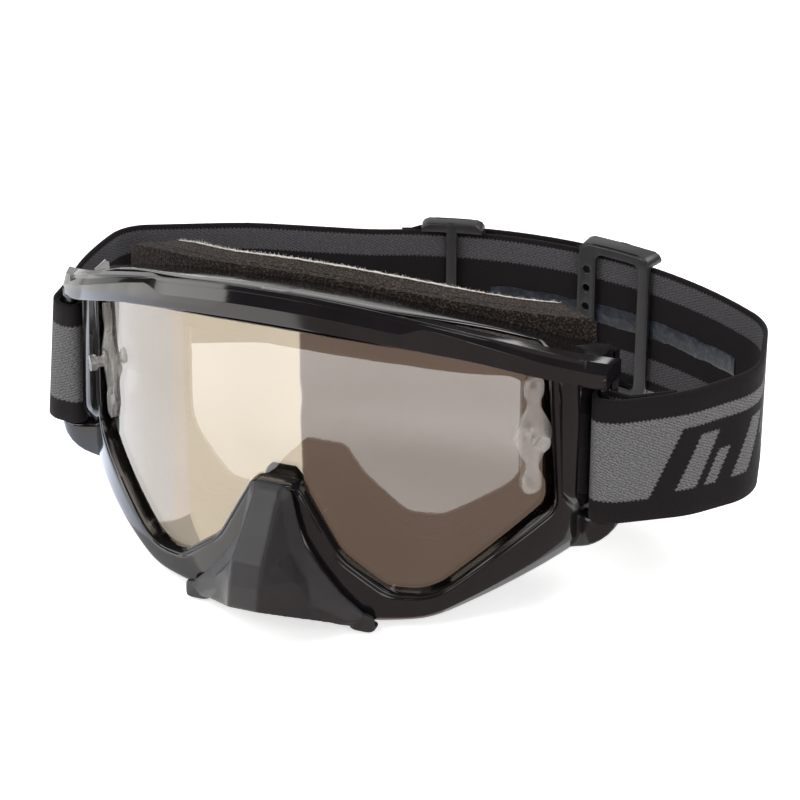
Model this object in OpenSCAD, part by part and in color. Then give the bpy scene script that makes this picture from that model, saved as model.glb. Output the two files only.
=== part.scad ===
// Motocross goggles: moulded frame, cylindrical lens, face foam, nose guard and strap.
// Millimetres. X runs across the face, Z is up, and the wearer's forehead is at Y = 0,
// with the lens towards -Y and the back of the strap towards +Y.

/* [Lens] */
// Outer radius of the cylindrical lens
lens_radius = 92; // [89:0.5:95]
// Thickness of the lens sheet
lens_thickness = 1.0; // [0.8:0.1:1.4]
// Distance from the forehead to the upright axis of the lens
lens_axis_y = 53.5; // [52:0.5:55]
// Height of the lens opening above eye level, on the midline
opening_top = 37.5; // [35:0.5:38.5]
// Depth of the lens opening below eye level, at its lower lobes
opening_low = 48.8; // [46:0.2:51]
// Depth of the top of the nose notch below eye level
nose_notch = 10; // [6:0.5:13]
// How far the lens reaches into its groove
groove_depth = 3.2; // [2:0.2:3.6]
// Clearance between the lens and each side of its groove
groove_clear = 0.1; // [0.05:0.05:0.2]

/* [Frame] */
// Radius of the rim's front surface beyond the lens surface
rim_proud = 4; // [3:0.25:5]
// Depth of the rim behind the lens surface
rim_back = 4; // [3:0.25:5]
// Half width of the frame across the side struts
frame_half_w = 84; // [83:0.25:85.5]
// Width of the side struts beside the lens opening
strut_w = 8.7; // [8.2:0.1:9.6]
// Depth of the frame's lower lobes below eye level
frame_low = 57.5; // [57:0.25:59]
// Wall of the moulded frame body
frame_wall = 2.2; // [1.6:0.1:3]
// Thickness of the face flange
flange_t = 2; // [1.5:0.1:2.5]
// Width of the side vents along the frame, front to back
vent_w = 5; // [3:0.5:6]

/* [Brow bar] */
// Height of the brow bar's lower edge above eye level, on the midline
brow_low_z = 39.8; // [39.2:0.1:41]
// Height of the brow bar's upper edge above eye level, on the midline
brow_high_z = 50; // [47:0.5:53]
// How far each tip of the brow bar stands out past the frame
brow_overhang = 5; // [3.5:0.5:6]
// Radius of the brow bar's front face
brow_radius = 113; // [110:0.5:116]
// Thickness of the brow bar, front to back
brow_t = 5.5; // [4:0.25:6.5]
// Thickness of the thin lip along the top of the brow bar
brow_lip_t = 1.3; // [1:0.1:1.8]

/* [Face foam] */
// Radius of the face that the foam meets
face_radius = 78; // [74:0.5:82]
// Thickness of the open-cell base layer, at the ends of the ring
foam_base_t = 8; // [6:0.5:9]
// Thickness of the softer cushion layer
foam_cushion_t = 7; // [5:0.5:8]
// Thickness of the fleece against the skin
fleece_t = 2; // [1.2:0.2:2.6]
// Width of the foam ring
foam_w = 16; // [13:0.5:17]
// How far each softer layer draws in from the one in front of it
foam_draw_in = 1; // [0.4:0.1:1.6]

/* [Tear-off posts] */
// Distance of each post from the side of the lens opening
post_inset = 6.5; // [6:0.1:8]
// Length of the post's base
post_length = 39; // [34:0.5:42]
// Height of the stud over the lens
post_height = 7; // [5.5:0.25:9]
// Radius of the stud's head
stud_head_r = 2.5; // [2.2:0.1:3]

/* [Nose guard] */
// Wall of the nose guard
guard_t = 2.2; // [1.6:0.1:2.8]
// How far the guard's ridge stands in front of the forehead plane
guard_reach = 66.7; // [62:0.5:70]
// Radius of the two locating pegs
peg_r = 1.5; // [1.2:0.1:1.8]
// Radial clearance round each peg
peg_clear = 0.08; // [0.03:0.01:0.1]

/* [Strap] */
// Width of the webbing
strap_w = 44; // [40:0.5:46]
// Thickness of the webbing
strap_t = 1.4; // [1.1:0.1:1.7]
// Radius of the arc that the strap takes at the back of the head
strap_arc_r = 130; // [126:1:134]
// Radius of the bar that each strap end is sewn round
strap_bar_r = 1.5; // [1.2:0.1:1.8]
// Length of the sewn tail of each strap end
sewn_tail = 14; // [10:0.5:18]
// Clearance between the webbing and the plastic that it passes
strap_clear = 0.3; // [0.2:0.05:0.4]
// Width of the silicone grip stripe
grip_w = 6.5; // [5:0.5:10]
// Thickness of the silicone grip stripe
grip_t = 0.4; // [0.3:0.05:0.5]

/* [Slider and ring] */
// Length of the adjusting slider along the strap
slider_l = 27; // [24:0.5:29]
// Length of the joining ring along the strap
ring_l = 21; // [19:0.5:23]
// Thickness of their bars
bar_t = 1.8; // [1.4:0.1:2.2]
// Height of the rails above and below the webbing
rail_h = 3.2; // [2.8:0.2:4]

/* [Hidden] */
$fn = 144;

// Span of the construction prisms and columns, well past the frame
front_y = -90;
low_z = -90;
high_z = 90;
// Rear end of the rim's prism
rim_rear_y = lens_axis_y - 22;
opening_half_w = frame_half_w - strut_w;
brow_half_w = frame_half_w + brow_overhang;
post_x = opening_half_w - post_inset;
rim_front_r = lens_radius + rim_proud;
rim_back_r = lens_radius - rim_back;
// How far the brow bar stands in front of the forehead, and the upright axis of its front face
brow_reach = 42;
brow_axis_y = brow_radius - brow_reach;
// Rise of the brow's two edges: height lost per square of the distance from the midline
brow_low_fall = 345;
brow_high_fall = 270;
// Radii of the foam layers about the head's axis
fleece_front_r = face_radius + fleece_t;
cushion_front_r = fleece_front_r + foam_cushion_t;
foam_end_r = cushion_front_r + foam_base_t;
// The face flange is flatter than the head, so the base layer is thinner on the midline
flange_shift = 11;
flange_flatten = 6.5;
flange_axis_y = face_radius + flange_shift;
flange_back_r = foam_end_r + flange_flatten;
flange_front_r = flange_back_r + flange_t;

// Rounded outlines
// An outline is a list of corners [x, z, fillet radius], clockwise from the top.
arc_step = 9;
function unit(v) = v / norm(v);
function left_of(v) = [-v[1], v[0]];
function wrap(a) = a > 180 ? a - 360 : (a < -180 ? a + 360 : a);
function spot(c) = [c[0], c[1]];
function fillet(a, b, c, r) =
    let (u = unit(a - b), w = unit(c - b), half = acos(u * w) / 2,
         centre = b + unit(u + w) * r / sin(half), back = r / tan(half),
         from = b + u * back - centre, to = b + w * back - centre,
         a0 = atan2(from[1], from[0]), sweep = wrap(atan2(to[1], to[0]) - a0),
         n = max(2, ceil(abs(sweep) / arc_step)))
    [for (i = [0:n]) centre + r * [cos(a0 + sweep * i / n), sin(a0 + sweep * i / n)]];
function rounded(corners) =
    let (n = len(corners))
    [for (i = [0:n - 1]) let (r = corners[i][2], b = spot(corners[i]))
        each (r <= 0 ? [b] :
            fillet(spot(corners[(i + n - 1) % n]), b, spot(corners[(i + 1) % n]), r))];
function both_sides(half) =
    concat(half, [for (i = [len(half) - 1:-1:1]) [-half[i][0], half[i][1], half[i][2]]]);
function grown(corners, d) =
    let (n = len(corners))
    [for (i = [0:n - 1])
        let (b = spot(corners[i]), r = corners[i][2],
             t1 = unit(b - spot(corners[(i + n - 1) % n])),
             t2 = unit(spot(corners[(i + 1) % n]) - b),
             n1 = left_of(t1), n2 = left_of(t2), turn = t1[0] * t2[1] - t1[1] * t2[0],
             moved = b + d * (n1 + n2) / (1 + n1 * n2))
        [moved[0], moved[1], r <= 0 ? 0 : max(0.3, r + (turn < 0 ? d : -d))]];

function brow_low(x) = brow_low_z - x * x / brow_low_fall;
function brow_high(x) = brow_high_z - x * x / brow_high_fall;
brow_step = 8;

opening_fall = 345;
function opening_z(x) = opening_top - x * x / opening_fall;
opening = both_sides(concat(
    [for (x = [0:12:60]) [x, opening_z(x), 0]],
    [[opening_half_w - 2.5, opening_z(opening_half_w - 2.5), 5],
     [opening_half_w, -25, 7],
     [46.5, -opening_low, 14],
     [34, -opening_low + 1.6, 10],
     [20, -35.5, 18],
     [7.5, -nose_notch, 4]]));
lens_outline = grown(opening, groove_depth);
groove_outline = grown(opening, groove_depth + groove_clear);

// The rim's outline ends at the brow bar's lower edge.
arch_z = -27;
rim_outline = both_sides(concat(
    [for (x = [0:brow_step:80]) [x, brow_low(x), 0]],
    [[frame_half_w, brow_low(frame_half_w), 0.5],
     [frame_half_w, -frame_low + 17.5, 3.5],
     [66, -frame_low + 10, 60],
     [45, -frame_low + 1, 26],
     [27, -frame_low + 0.6, 6],
     [11.5, -45, 10],
     [6, arch_z, 5]]));

brow_outline = both_sides(concat(
    [for (x = [0:brow_step:80]) [x, brow_high(x), 0]],
    [[brow_half_w, brow_high(brow_half_w), 1],
     [brow_half_w, brow_low(brow_half_w), 1]],
    [for (x = [80:-brow_step:8]) [x, brow_low(x), 0]],
    [[0, brow_low(0), 0]]));

foam_top_fall = 350;
foam_top_z = 43;
foam_half_w = frame_half_w - 3;
function foam_z(x) = foam_top_z - x * x / foam_top_fall;
function foam_outline(half_w) = both_sides(concat(
    [for (x = [0:10:60]) [x, foam_z(x), 0]],
    [[half_w - 2, foam_z(half_w - 2), 7],
     [half_w, -37, 8],
     [half_w * 0.79, -frame_low + 11, 30],
     [45, -frame_low + 3, 12],
     [29, -frame_low + 3, 6],
     [14, -43, 9],
     [8, arch_z - 1, 5]]));
// The ring is wider along the forehead than along the cheeks.
brow_foam_extra = 9.3;
hole_top_z = foam_top_z - foam_w - brow_foam_extra;
hole_top_fall = 600;
function hole_z(x) = hole_top_z - x * x / hole_top_fall;
function foam_hole(half_w) = both_sides(
    [[0, hole_top_z, 0], [16, hole_z(16), 0], [32, hole_z(32), 0],
     [half_w - 1, hole_z(half_w - 1), 7],
     [half_w, -32, 8],
     [43, -frame_low + foam_w, 9],
     [31, -frame_low + 1.5 + foam_w, 8],
     [15, -27, 8],
     [8, arch_z + 9, 5]]);

// Solids that the pieces are cut from
module prism(corners, y0 = front_y, y1 = rim_rear_y) {
    translate([0, y1, 0]) rotate([90, 0, 0]) linear_extrude(y1 - y0) polygon(rounded(corners));
}
module column(axis_y, r) {
    translate([0, axis_y, low_z]) cylinder(r = r, h = high_z - low_z);
}
// A wedge about the head's axis, opening towards the lens
module sector(half_angle) {
    far = 250;
    translate([0, face_radius, low_z]) linear_extrude(high_z - low_z)
        polygon([[0, 0], far * [-sin(half_angle), -cos(half_angle)], [0, -far],
            far * [sin(half_angle), -cos(half_angle)]]);
}
module lens_groove() {
    intersection() {
        prism(groove_outline);
        difference() {
            column(lens_axis_y, lens_radius + groove_clear);
            column(lens_axis_y, lens_radius - lens_thickness - groove_clear);
        }
    }
}

// Frame
strut_plan = [[frame_half_w - 9, -6.4], [frame_half_w - 2, -3.8], [frame_half_w, -1.2],
    [frame_half_w, 8], [frame_half_w - 8, 2]];
peg_x = 17.8;
peg_z = -44;
peg_tip_y = lens_axis_y - lens_radius + 1.6;
module strut(side) {
    mirror([side > 0 ? 0 : 1, 0, 0]) intersection() {
        translate([0, 0, low_z]) linear_extrude(high_z - low_z) polygon(strut_plan);
        prism(rim_outline);
    }
}
// The frame's upper wall slopes down from the brow bar to the face foam
hood_slope = 0.33;
hood_tilt = atan(hood_slope);
hood_fall = 534;
hood_step_down = 1.2;
hood_z0 = brow_high_z - hood_step_down + hood_slope * (brow_axis_y - brow_radius + brow_t);
hood_step = 10;
hood_side = 100;
hood_far = 160;
hood_half_w = frame_half_w - 0.4;
module under_hood(drop) {
    rotate([-hood_tilt, 0, 0])
        prism(both_sides(concat(
            [for (x = [0:hood_step:hood_side])
                [x, cos(hood_tilt) * (hood_z0 - drop - x * x / hood_fall), 0]],
            [[hood_side, -hood_far, 0], [0, -hood_far, 0]])), -hood_far, hood_far);
}
module peg_bores() {
    for (side = [-1, 1])
        translate([side * peg_x, rim_rear_y, peg_z]) rotate([90, 0, 0])
            cylinder(r = peg_r + peg_clear, h = rim_rear_y - front_y);
}
module front_rim() {
    color("#161518") difference() {
        union() {
            intersection() {
                prism(rim_outline);
                column(lens_axis_y, rim_front_r);
                under_hood(0);
            }
            strut(-1);
            strut(1);
        }
        column(lens_axis_y, rim_back_r);
        prism(opening);
        lens_groove();
        peg_bores();
    }
}
// Between the frame's sides, the hood lies on the bar behind its thin lip
module hood_seat() {
    intersection() {
        difference() {
            column(brow_axis_y, brow_radius - brow_lip_t);
            under_hood(frame_wall);
        }
        translate([-hood_half_w, -hood_far, low_z]) cube([2 * hood_half_w, 2 * hood_far, 2 * high_z]);
    }
}
module brow_bar() {
    color("#1b1a1d") difference() {
        intersection() {
            prism(brow_outline);
            column(brow_axis_y, brow_radius);
        }
        column(brow_axis_y, brow_radius - brow_t);
        lens_groove();
        hood_seat();
    }
}
shell_outline = grown(rim_outline, -0.4);
flange_outline = both_sides(concat(
    [for (x = [0:brow_step:80]) [x, brow_low(x) + 2, 0]],
    [for (i = [11:17]) shell_outline[i]]));
vent_front_r = rim_back_r - 3;
vent_back_r = vent_front_r - vent_w;
// Vents sit between these distances from the midline
upper_vent_x = [3, 68];
lower_vent_x = [50, 70];
upper_vent_r = brow_radius - brow_lip_t - 0.8;
module vent_ring(side, span, axis_y, r, clear) {
    mirror([side > 0 ? 0 : 1, 0, 0]) intersection() {
        difference() {
            column(axis_y, r - clear);
            column(axis_y, r - vent_w + clear);
        }
        translate([span[0] + clear, front_y, low_z])
            cube([span[1] - span[0] - 2 * clear, rim_rear_y - front_y, high_z - low_z]);
    }
}
// Everything above a level
module above(z) {
    translate([-hood_far, -hood_far, z]) cube([2 * hood_far, 2 * hood_far, high_z]);
}
module upper_vent(side, clear) {
    intersection() {
        vent_ring(side, upper_vent_x, brow_axis_y, upper_vent_r, clear);
        above(0);
    }
}
module lower_vent(side, clear) {
    difference() {
        vent_ring(side, lower_vent_x, lens_axis_y, vent_front_r, clear);
        above(0);
    }
}
module shell_ring(outer_in, inner_in) {
    difference() {
        prism(grown(shell_outline, -outer_in), front_y, face_radius);
        prism(grown(shell_outline, -inner_in), front_y - 1, face_radius + 1);
    }
}
module hood_layer(outer_in, inner_in) {
    intersection() {
        difference() {
            under_hood(outer_in);
            under_hood(inner_in);
        }
        column(brow_axis_y, brow_radius - brow_lip_t);
    }
}
// Under the hood the ring has no upper wall between these sides
ring_top_x = 66;
ring_top_z = 20;
hood_low_z = 4;
module frame_shell() {
    color("#19181b") difference() {
        union() {
            difference() {
                intersection() {
                    shell_ring(0, frame_wall);
                    column(lens_axis_y, rim_back_r);
                    under_hood(0);
                }
                translate([-ring_top_x, -hood_far, ring_top_z])
                    cube([2 * ring_top_x, 2 * hood_far, high_z]);
            }
            difference() {
                intersection() {
                    hood_layer(0, frame_wall);
                    translate([-hood_half_w, -hood_far, hood_low_z])
                        cube([2 * hood_half_w, 2 * hood_far, high_z]);
                }
                difference() {
                    prism(rim_outline);
                    column(lens_axis_y, rim_back_r);
                }
            }
        }
        column(flange_axis_y, flange_front_r);
        lens_groove();
        for (side = [-1, 1]) {
            upper_vent(side, 0);
            lower_vent(side, 0);
        }
    }
}
foam_seat = 0.3;
foam_proud = 1.2;
module upper_vent_foam(side) {
    color("#3b3532") intersection() {
        hood_layer(foam_seat, frame_wall);
        upper_vent(side, 0.1);
    }
}
module lower_vent_foam(side) {
    color("#3b3532") intersection() {
        difference() {
            shell_ring(foam_seat, frame_wall + foam_proud);
            column(flange_axis_y, flange_front_r + 0.1);
        }
        lower_vent(side, 0.1);
    }
}
module upper_vent_foam_left() { upper_vent_foam(-1); }
module upper_vent_foam_right() { upper_vent_foam(1); }
module lower_vent_foam_left() { lower_vent_foam(-1); }
module lower_vent_foam_right() { lower_vent_foam(1); }

// A layer that lies between two radii about the head's axis
module face_layer(outer, r_front, r_back) {
    intersection() {
        prism(outer, front_y, face_radius);
        difference() {
            column(face_radius, r_front);
            column(face_radius, r_back);
        }
        children();
    }
}
// The ring's ends are cut square to the head's curve, so each layer is a little narrower.
foam_end_angle = asin(foam_half_w / foam_end_r);
hole_end_angle = asin((foam_half_w - foam_w + 1) / foam_end_r);
module foam_layer(step, r_front, r_back) {
    reach = sin(foam_end_angle) * r_front;
    hole_reach = sin(hole_end_angle) * r_front;
    face_layer(grown(foam_outline(reach), -step * foam_draw_in), r_front, r_back)
        difference() {
            sector(foam_end_angle);
            intersection() {
                prism(grown(foam_hole(hole_reach), step * foam_draw_in / 2), front_y, face_radius);
                sector(hole_end_angle);
            }
        }
}
module face_flange() {
    color("#19181b") intersection() {
        difference() {
            prism(flange_outline, front_y, face_radius);
            column(flange_axis_y, flange_back_r);
            prism(grown(foam_hole(foam_half_w - foam_w + 1), 1.5), front_y, face_radius);
        }
        column(flange_axis_y, flange_front_r);
        under_hood(0);
    }
}
module foam_base() {
    color("#2c2725") intersection() {
        foam_layer(0, foam_end_r, cushion_front_r);
        column(flange_axis_y, flange_back_r);
    }
}
module foam_cushion() {
    color("#38322f") foam_layer(1, cushion_front_r, fleece_front_r);
}
module fleece_lining() {
    color("#e6e1d8") foam_layer(2, fleece_front_r, face_radius);
}

// Lens and tear-off posts
post_angle = asin(post_x / lens_radius);
pad_r = 3.1;
pad_z = post_length / 2 - pad_r;
post_plate_t = 1.2;
post_gap = 0.05;
post_peg_r = 1.3;
lens_hole_r = post_peg_r + 0.08;
clip_t = 1;
module at_post(side) {
    translate([0, lens_axis_y, 0]) rotate([0, 0, side * post_angle])
        translate([0, -lens_radius, 0]) children();
}
// A round bar along the lens's outward direction, from depth y0 back to y1
module along_normal(x, z, r, y0, y1) {
    translate([x, y1, z]) rotate([90, 0, 0]) cylinder(r = r, h = y1 - y0);
}
module lens() {
    color("#cfc2b0", 0.6) difference() {
        intersection() {
            prism(lens_outline);
            column(lens_axis_y, lens_radius);
        }
        column(lens_axis_y, lens_radius - lens_thickness);
        for (side = [-1, 1], z = [-pad_z, pad_z])
            at_post(side) along_normal(0, z, lens_hole_r, -4, 6);
    }
}
waist_z = 9.5;
stem_half_w = 1.5;
eye_half_w = 7.2;
post_half = concat(
    [[0, post_length / 2, 0], [pad_r, post_length / 2, 2.6], [pad_r, pad_z - 2.6, 1.6],
     [stem_half_w, waist_z + 1, 3], [eye_half_w, 0, 2.4]],
    [[stem_half_w, -waist_z - 1, 3], [pad_r, -pad_z + 2.6, 1.6],
     [pad_r, -post_length / 2, 2.6]]);
module post_body(side) {
    stud_top = -post_height;
    color("#e9e6e2", 0.5) at_post(side) {
        translate([0, -post_gap, 0]) rotate([90, 0, 0]) linear_extrude(post_plate_t)
            polygon(rounded(both_sides(post_half)));
        along_normal(0, 0, stud_head_r + 0.7, -post_plate_t - post_gap - 0.8, -post_gap);
        along_normal(0, 0, stud_head_r - 0.8, stud_top, -post_gap);
        along_normal(0, 0, stud_head_r, stud_top, stud_top + 2);
        for (z = [-pad_z, pad_z])
            along_normal(0, z, post_peg_r, -post_gap - 0.2, lens_thickness + post_gap + clip_t + 0.3);
    }
}
module post_clip(side) {
    clip_y = lens_thickness + 2 * post_gap;
    color("#dcd8d2", 0.5) at_post(side) difference() {
        translate([0, clip_y + clip_t, 0]) rotate([90, 0, 0]) linear_extrude(clip_t)
            polygon(rounded([[-pad_r, post_length / 2, pad_r - 0.1], [pad_r, post_length / 2, pad_r - 0.1],
                [pad_r, -post_length / 2, pad_r - 0.1], [-pad_r, -post_length / 2, pad_r - 0.1]]));
        for (z = [-pad_z, pad_z])
            along_normal(0, z, lens_hole_r, clip_y - 1, clip_y + clip_t + 1);
    }
}
module post_left() { post_body(-1); }
module post_right() { post_body(1); }
module post_clip_left() { post_clip(-1); }
module post_clip_right() { post_clip(1); }

// Nose guard
seat_gap = 0.3;
function rim_front(x) = lens_axis_y - sqrt(rim_front_r * rim_front_r - x * x);
// Edge of the guard from the top of the tongue down to the lower wing, as [x, z]
guard_edge = [[5, -nose_notch - 0.3], [7, -14.5], [9.5, -30.3], [14.3, -37.2], [20.7, -44.5],
    [27, -53], [23, -56.5]];
ridge_half_w = 5;
knee = [ridge_half_w + 0.2, -guard_reach + 3.7, -28.1];
chin = [ridge_half_w, -guard_reach, -41];
cheek = [11.5, -52.5, -37.5];
shell_pull = 0.87;
guard_core = [0, rim_front(0) + 3, -34];
function edge_out(p) = [p[0], rim_front(p[0]) - seat_gap - guard_t, p[1]];
function edge_in(p) = [p[0], rim_front(p[0]) - seat_gap, p[1]];
function pulled(p) = guard_core + (p - guard_core) * shell_pull;
function flipped(p) = [-p[0], p[1], p[2]];
// The right half's points run: seven edge points, knee, chin, cheek
guard_half_out = concat([for (p = guard_edge) edge_out(p)], [knee, chin, cheek]);
guard_half_in = concat([for (p = guard_edge) edge_in(p)], [pulled(knee), pulled(chin), pulled(cheek)]);
guard_points = concat(guard_half_out, [for (p = guard_half_out) flipped(p)],
    guard_half_in, [for (p = guard_half_in) flipped(p)]);
half_n = len(guard_half_out);
// Triangles of the right half of the outer skin
guard_tris = [[0, 2, 1], [0, 7, 2], [7, 9, 2], [2, 9, 3], [3, 9, 4], [4, 9, 5], [5, 9, 6],
    [7, 8, 6], [7, 6, 9]];
// The free border of the right half, from the top middle to the chin
guard_border = [0, 1, 2, 3, 4, 5, 6, 8];
function swap(t) = [t[0], t[2], t[1]];
function lifted(t, k) = [t[0] + k, t[1] + k, t[2] + k];
function border_strip(list, k, m) =
    [for (i = [0:len(list) - 2]) let (a = list[i] + k, b = list[i + 1] + k)
        each [[a, b, b + m], [a, b + m, a + m]]];
outer_n = 2 * half_n;
centre_tris = [[0, half_n, half_n + 7], [0, half_n + 7, 7], [7, half_n + 7, half_n + 8],
    [7, half_n + 8, 8]];
skin_tris = concat(guard_tris, [for (t = guard_tris) swap(lifted(t, half_n))], centre_tris);
border_right = border_strip(guard_border, 0, outer_n);
border_left = [for (t = border_strip(guard_border, half_n, outer_n)) swap(t)];
border_mid = [[half_n, 0, outer_n], [half_n, outer_n, outer_n + half_n],
    [8, half_n + 8, outer_n + half_n + 8], [8, outer_n + half_n + 8, outer_n + 8]];
guard_faces = [for (t = concat(skin_tris, [for (t = skin_tris) swap(lifted(t, outer_n))],
    border_right, border_left, border_mid)) swap(t)];
// The hook's ear hangs in front of the rim and its foot runs back under the lower edge
hook_x = [24.5, 30];
hook_seat_y = rim_front(hook_x[0]) - seat_gap;
hook_top_z = -52.5;
hook_foot_z = -frame_low + 0.6 - 0.3;
hook_foot_l = 4;
hook_foot_t = 1.6;
hook_profile = [[hook_seat_y - guard_t, hook_top_z], [hook_seat_y, hook_top_z],
    [hook_seat_y, hook_foot_z], [hook_seat_y + hook_foot_l, hook_foot_z],
    [hook_seat_y + hook_foot_l, hook_foot_z - hook_foot_t],
    [hook_seat_y - guard_t, hook_foot_z - hook_foot_t]];
module hook(side) {
    mirror([side > 0 ? 0 : 1, 0, 0]) translate([hook_x[0], 0, 0]) rotate([90, 0, 90])
        linear_extrude(hook_x[1] - hook_x[0]) polygon(hook_profile);
}
peg_root_y = rim_front(peg_x) - seat_gap - guard_t - 1;
module nose_guard() {
    color("#2b2a2c") {
        polyhedron(points = guard_points, faces = guard_faces);
        hook(-1);
        hook(1);
        for (side = [-1, 1])
            translate([side * peg_x, peg_tip_y, peg_z]) rotate([90, 0, 0])
                cylinder(r = peg_r, h = peg_tip_y - peg_root_y);
    }
}

// Strap route in plan
strap_top_z = 14.2;
strap_low_z = strap_top_z - strap_w;
arc_centre = [36, -36];
function on_arc(a, r) = arc_centre + r * [sin(a), cos(a)];
// Degrees along the arc for a length measured on the strap
function along(l) = l / strap_arc_r * 180 / PI;
arc_right = 36;
arc_left = -21;
ring_angle = -12.4;
slider_angle = 12.9;
// The frame's strap bars
bar_x = frame_half_w + strap_bar_r + strap_t + 2 * strap_clear;
bar_y = 3.2;
loop_r = strap_bar_r + strap_clear + strap_t / 2;
tail_gap = strap_t + 0.06;
// Corners [x, y, fillet radius] of each run from its frame bar to the back arc
run_right = [[bar_x, bar_y - loop_r, 0], [bar_x + 4, bar_y - loop_r + 0.2, 14], [112, 12.8, 30],
    [127.6, 31, 18], [121.3, 62.7, 20], [on_arc(arc_right, strap_arc_r)[0],
    on_arc(arc_right, strap_arc_r)[1], 0]];
arc_lead = 8;
left_lead = on_arc(arc_left, strap_arc_r) - arc_lead * [cos(arc_left), -sin(arc_left)];
run_left = [[-bar_x, bar_y - loop_r, 0], [-bar_x - 8.3, bar_y - loop_r + 0.3, 7],
    [-bar_x - 10.1, 30, 60], [-bar_x - 6.7, 57, 13], [-57, 73.6, 80], [left_lead[0], left_lead[1], 60],
    [on_arc(arc_left, strap_arc_r)[0],
    on_arc(arc_left, strap_arc_r)[1], 0]];
function open_rounded(c) =
    let (n = len(c))
    [for (i = [0:n - 1]) each (i == 0 || i == n - 1 || c[i][2] <= 0 ? [spot(c[i])] :
        fillet(spot(c[i - 1]), spot(c[i]), spot(c[i + 1]), c[i][2]))];
function path_normal(p, i) = left_of(unit(p[min(i + 1, len(p) - 1)] - p[max(i - 1, 0)]));
function beside(p, d) = [for (i = [0:len(p) - 1]) p[i] + path_normal(p, i) * d];
function backwards(p) = [for (i = [len(p) - 1:-1:0]) p[i]];
module webbing(path, t, z0, z1) {
    translate([0, 0, z0]) linear_extrude(z1 - z0)
        polygon(concat(beside(path, t / 2), backwards(beside(path, -t / 2))));
}
// Half turn round a frame bar, from the tail on the inside to the run on the outside
turn_steps = 8;
function bar_turn(side) =
    [for (i = [0:turn_steps - 1]) let (a = 90 + 180 * i / turn_steps)
        [side * (bar_x + loop_r * cos(a)), bar_y + loop_r * sin(a)]];
// The sewn tail lies against the run's inner face, starting past the run's first bend
function tail(run, side, lead) =
    let (c = spot(run[1]), d = unit(spot(run[2]) - c), off = left_of(d) * side * tail_gap)
    [c + d * (lead + sewn_tail) + off, c + d * lead + off];
tail_right = tail(run_right, 1, 5);
tail_left = tail(run_left, -1, 9.5);

// Radii of the layers and bars about the back arc's centre
inner_face_r = strap_arc_r - strap_t / 2;
outer_face_r = strap_arc_r + strap_t / 2;
inner_bar_r1 = inner_face_r - grip_t - strap_clear;
inner_bar_r0 = inner_bar_r1 - bar_t;
ring_bar_r0 = outer_face_r + strap_clear;
ring_bar_r1 = ring_bar_r0 + bar_t;
return_r = ring_bar_r1 + strap_clear + strap_t / 2;
slider_bar_r0 = outer_face_r + 2 * strap_clear + strap_t;
slider_bar_r1 = slider_bar_r0 + bar_t;
ring_side_w = 7.8;
ring_mid_w = 3.6;
slider_left_w = 6.5;
slider_mid_w = 4;
slider_right_w = 4.5;
ring_a0 = ring_angle - along(ring_l / 2);
ring_a1 = ring_angle + along(ring_l / 2);
slider_a0 = slider_angle - along(slider_l / 2);
slider_a1 = slider_angle + along(slider_l / 2);

// Half turn round one of the ring's side bars: edge is the bar's edge towards the ring's middle
turn_r = (return_r - strap_arc_r) / 2;
function ring_turn(edge, side) =
    [for (i = [0:turn_steps]) let (a = 180 * i / turn_steps)
        on_arc(edge - side * along(turn_r * sin(a)), strap_arc_r + turn_r * (1 - cos(a)))];
ring_edge_right = ring_a1 - along(ring_side_w);
ring_edge_left = ring_a0 + along(ring_side_w);
arc_grain = 2;
module strap_right() {
    path = concat(tail_right, bar_turn(1), open_rounded(run_right),
        [for (a = [arc_right - arc_grain:-arc_grain:ring_edge_right + 1]) on_arc(a, strap_arc_r)],
        ring_turn(ring_edge_right, 1));
    color("#3a3a3c") webbing(path, strap_t, strap_low_z, strap_top_z);
}
module strap_left() {
    end = ring_edge_left - along(sewn_tail);
    path = concat(tail_left, bar_turn(-1), open_rounded(run_left),
        [for (a = [arc_left + arc_grain:arc_grain:ring_edge_left - 1]) on_arc(a, strap_arc_r)],
        ring_turn(ring_edge_left, -1),
        [on_arc(ring_a0, return_r), on_arc(ring_a0 - along(3), strap_arc_r + tail_gap),
         on_arc(end, strap_arc_r + tail_gap)]);
    color("#3a3a3c") webbing(path, strap_t, strap_low_z, strap_top_z);
}
// The outer layer runs from the ring back to the slider's middle bar and is sewn round it
slider_turn_r = (slider_bar_r1 - slider_bar_r0 + strap_t) / 2 + strap_clear;
slider_turn_mid = (slider_bar_r0 + slider_bar_r1) / 2;
mid_a0 = slider_angle - along(slider_mid_w / 2);
mid_a1 = slider_angle + along(slider_mid_w / 2);
module strap_return() {
    path = concat([for (a = [ring_edge_right:arc_grain:mid_a0 - 5]) on_arc(a, return_r)],
        [on_arc(mid_a0 - 2.5, return_r), on_arc(mid_a0, slider_turn_mid + slider_turn_r)],
        [for (i = [0:turn_steps]) let (a = 180 * i / turn_steps)
            on_arc(mid_a1 + along(slider_turn_r * sin(a)), slider_turn_mid + slider_turn_r * cos(a))],
        [on_arc(mid_a0, slider_turn_mid - slider_turn_r),
         on_arc(mid_a0 - along(sewn_tail), slider_turn_mid - slider_turn_r)]);
    color("#343436") webbing(path, strap_t, strap_low_z, strap_top_z);
}
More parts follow.
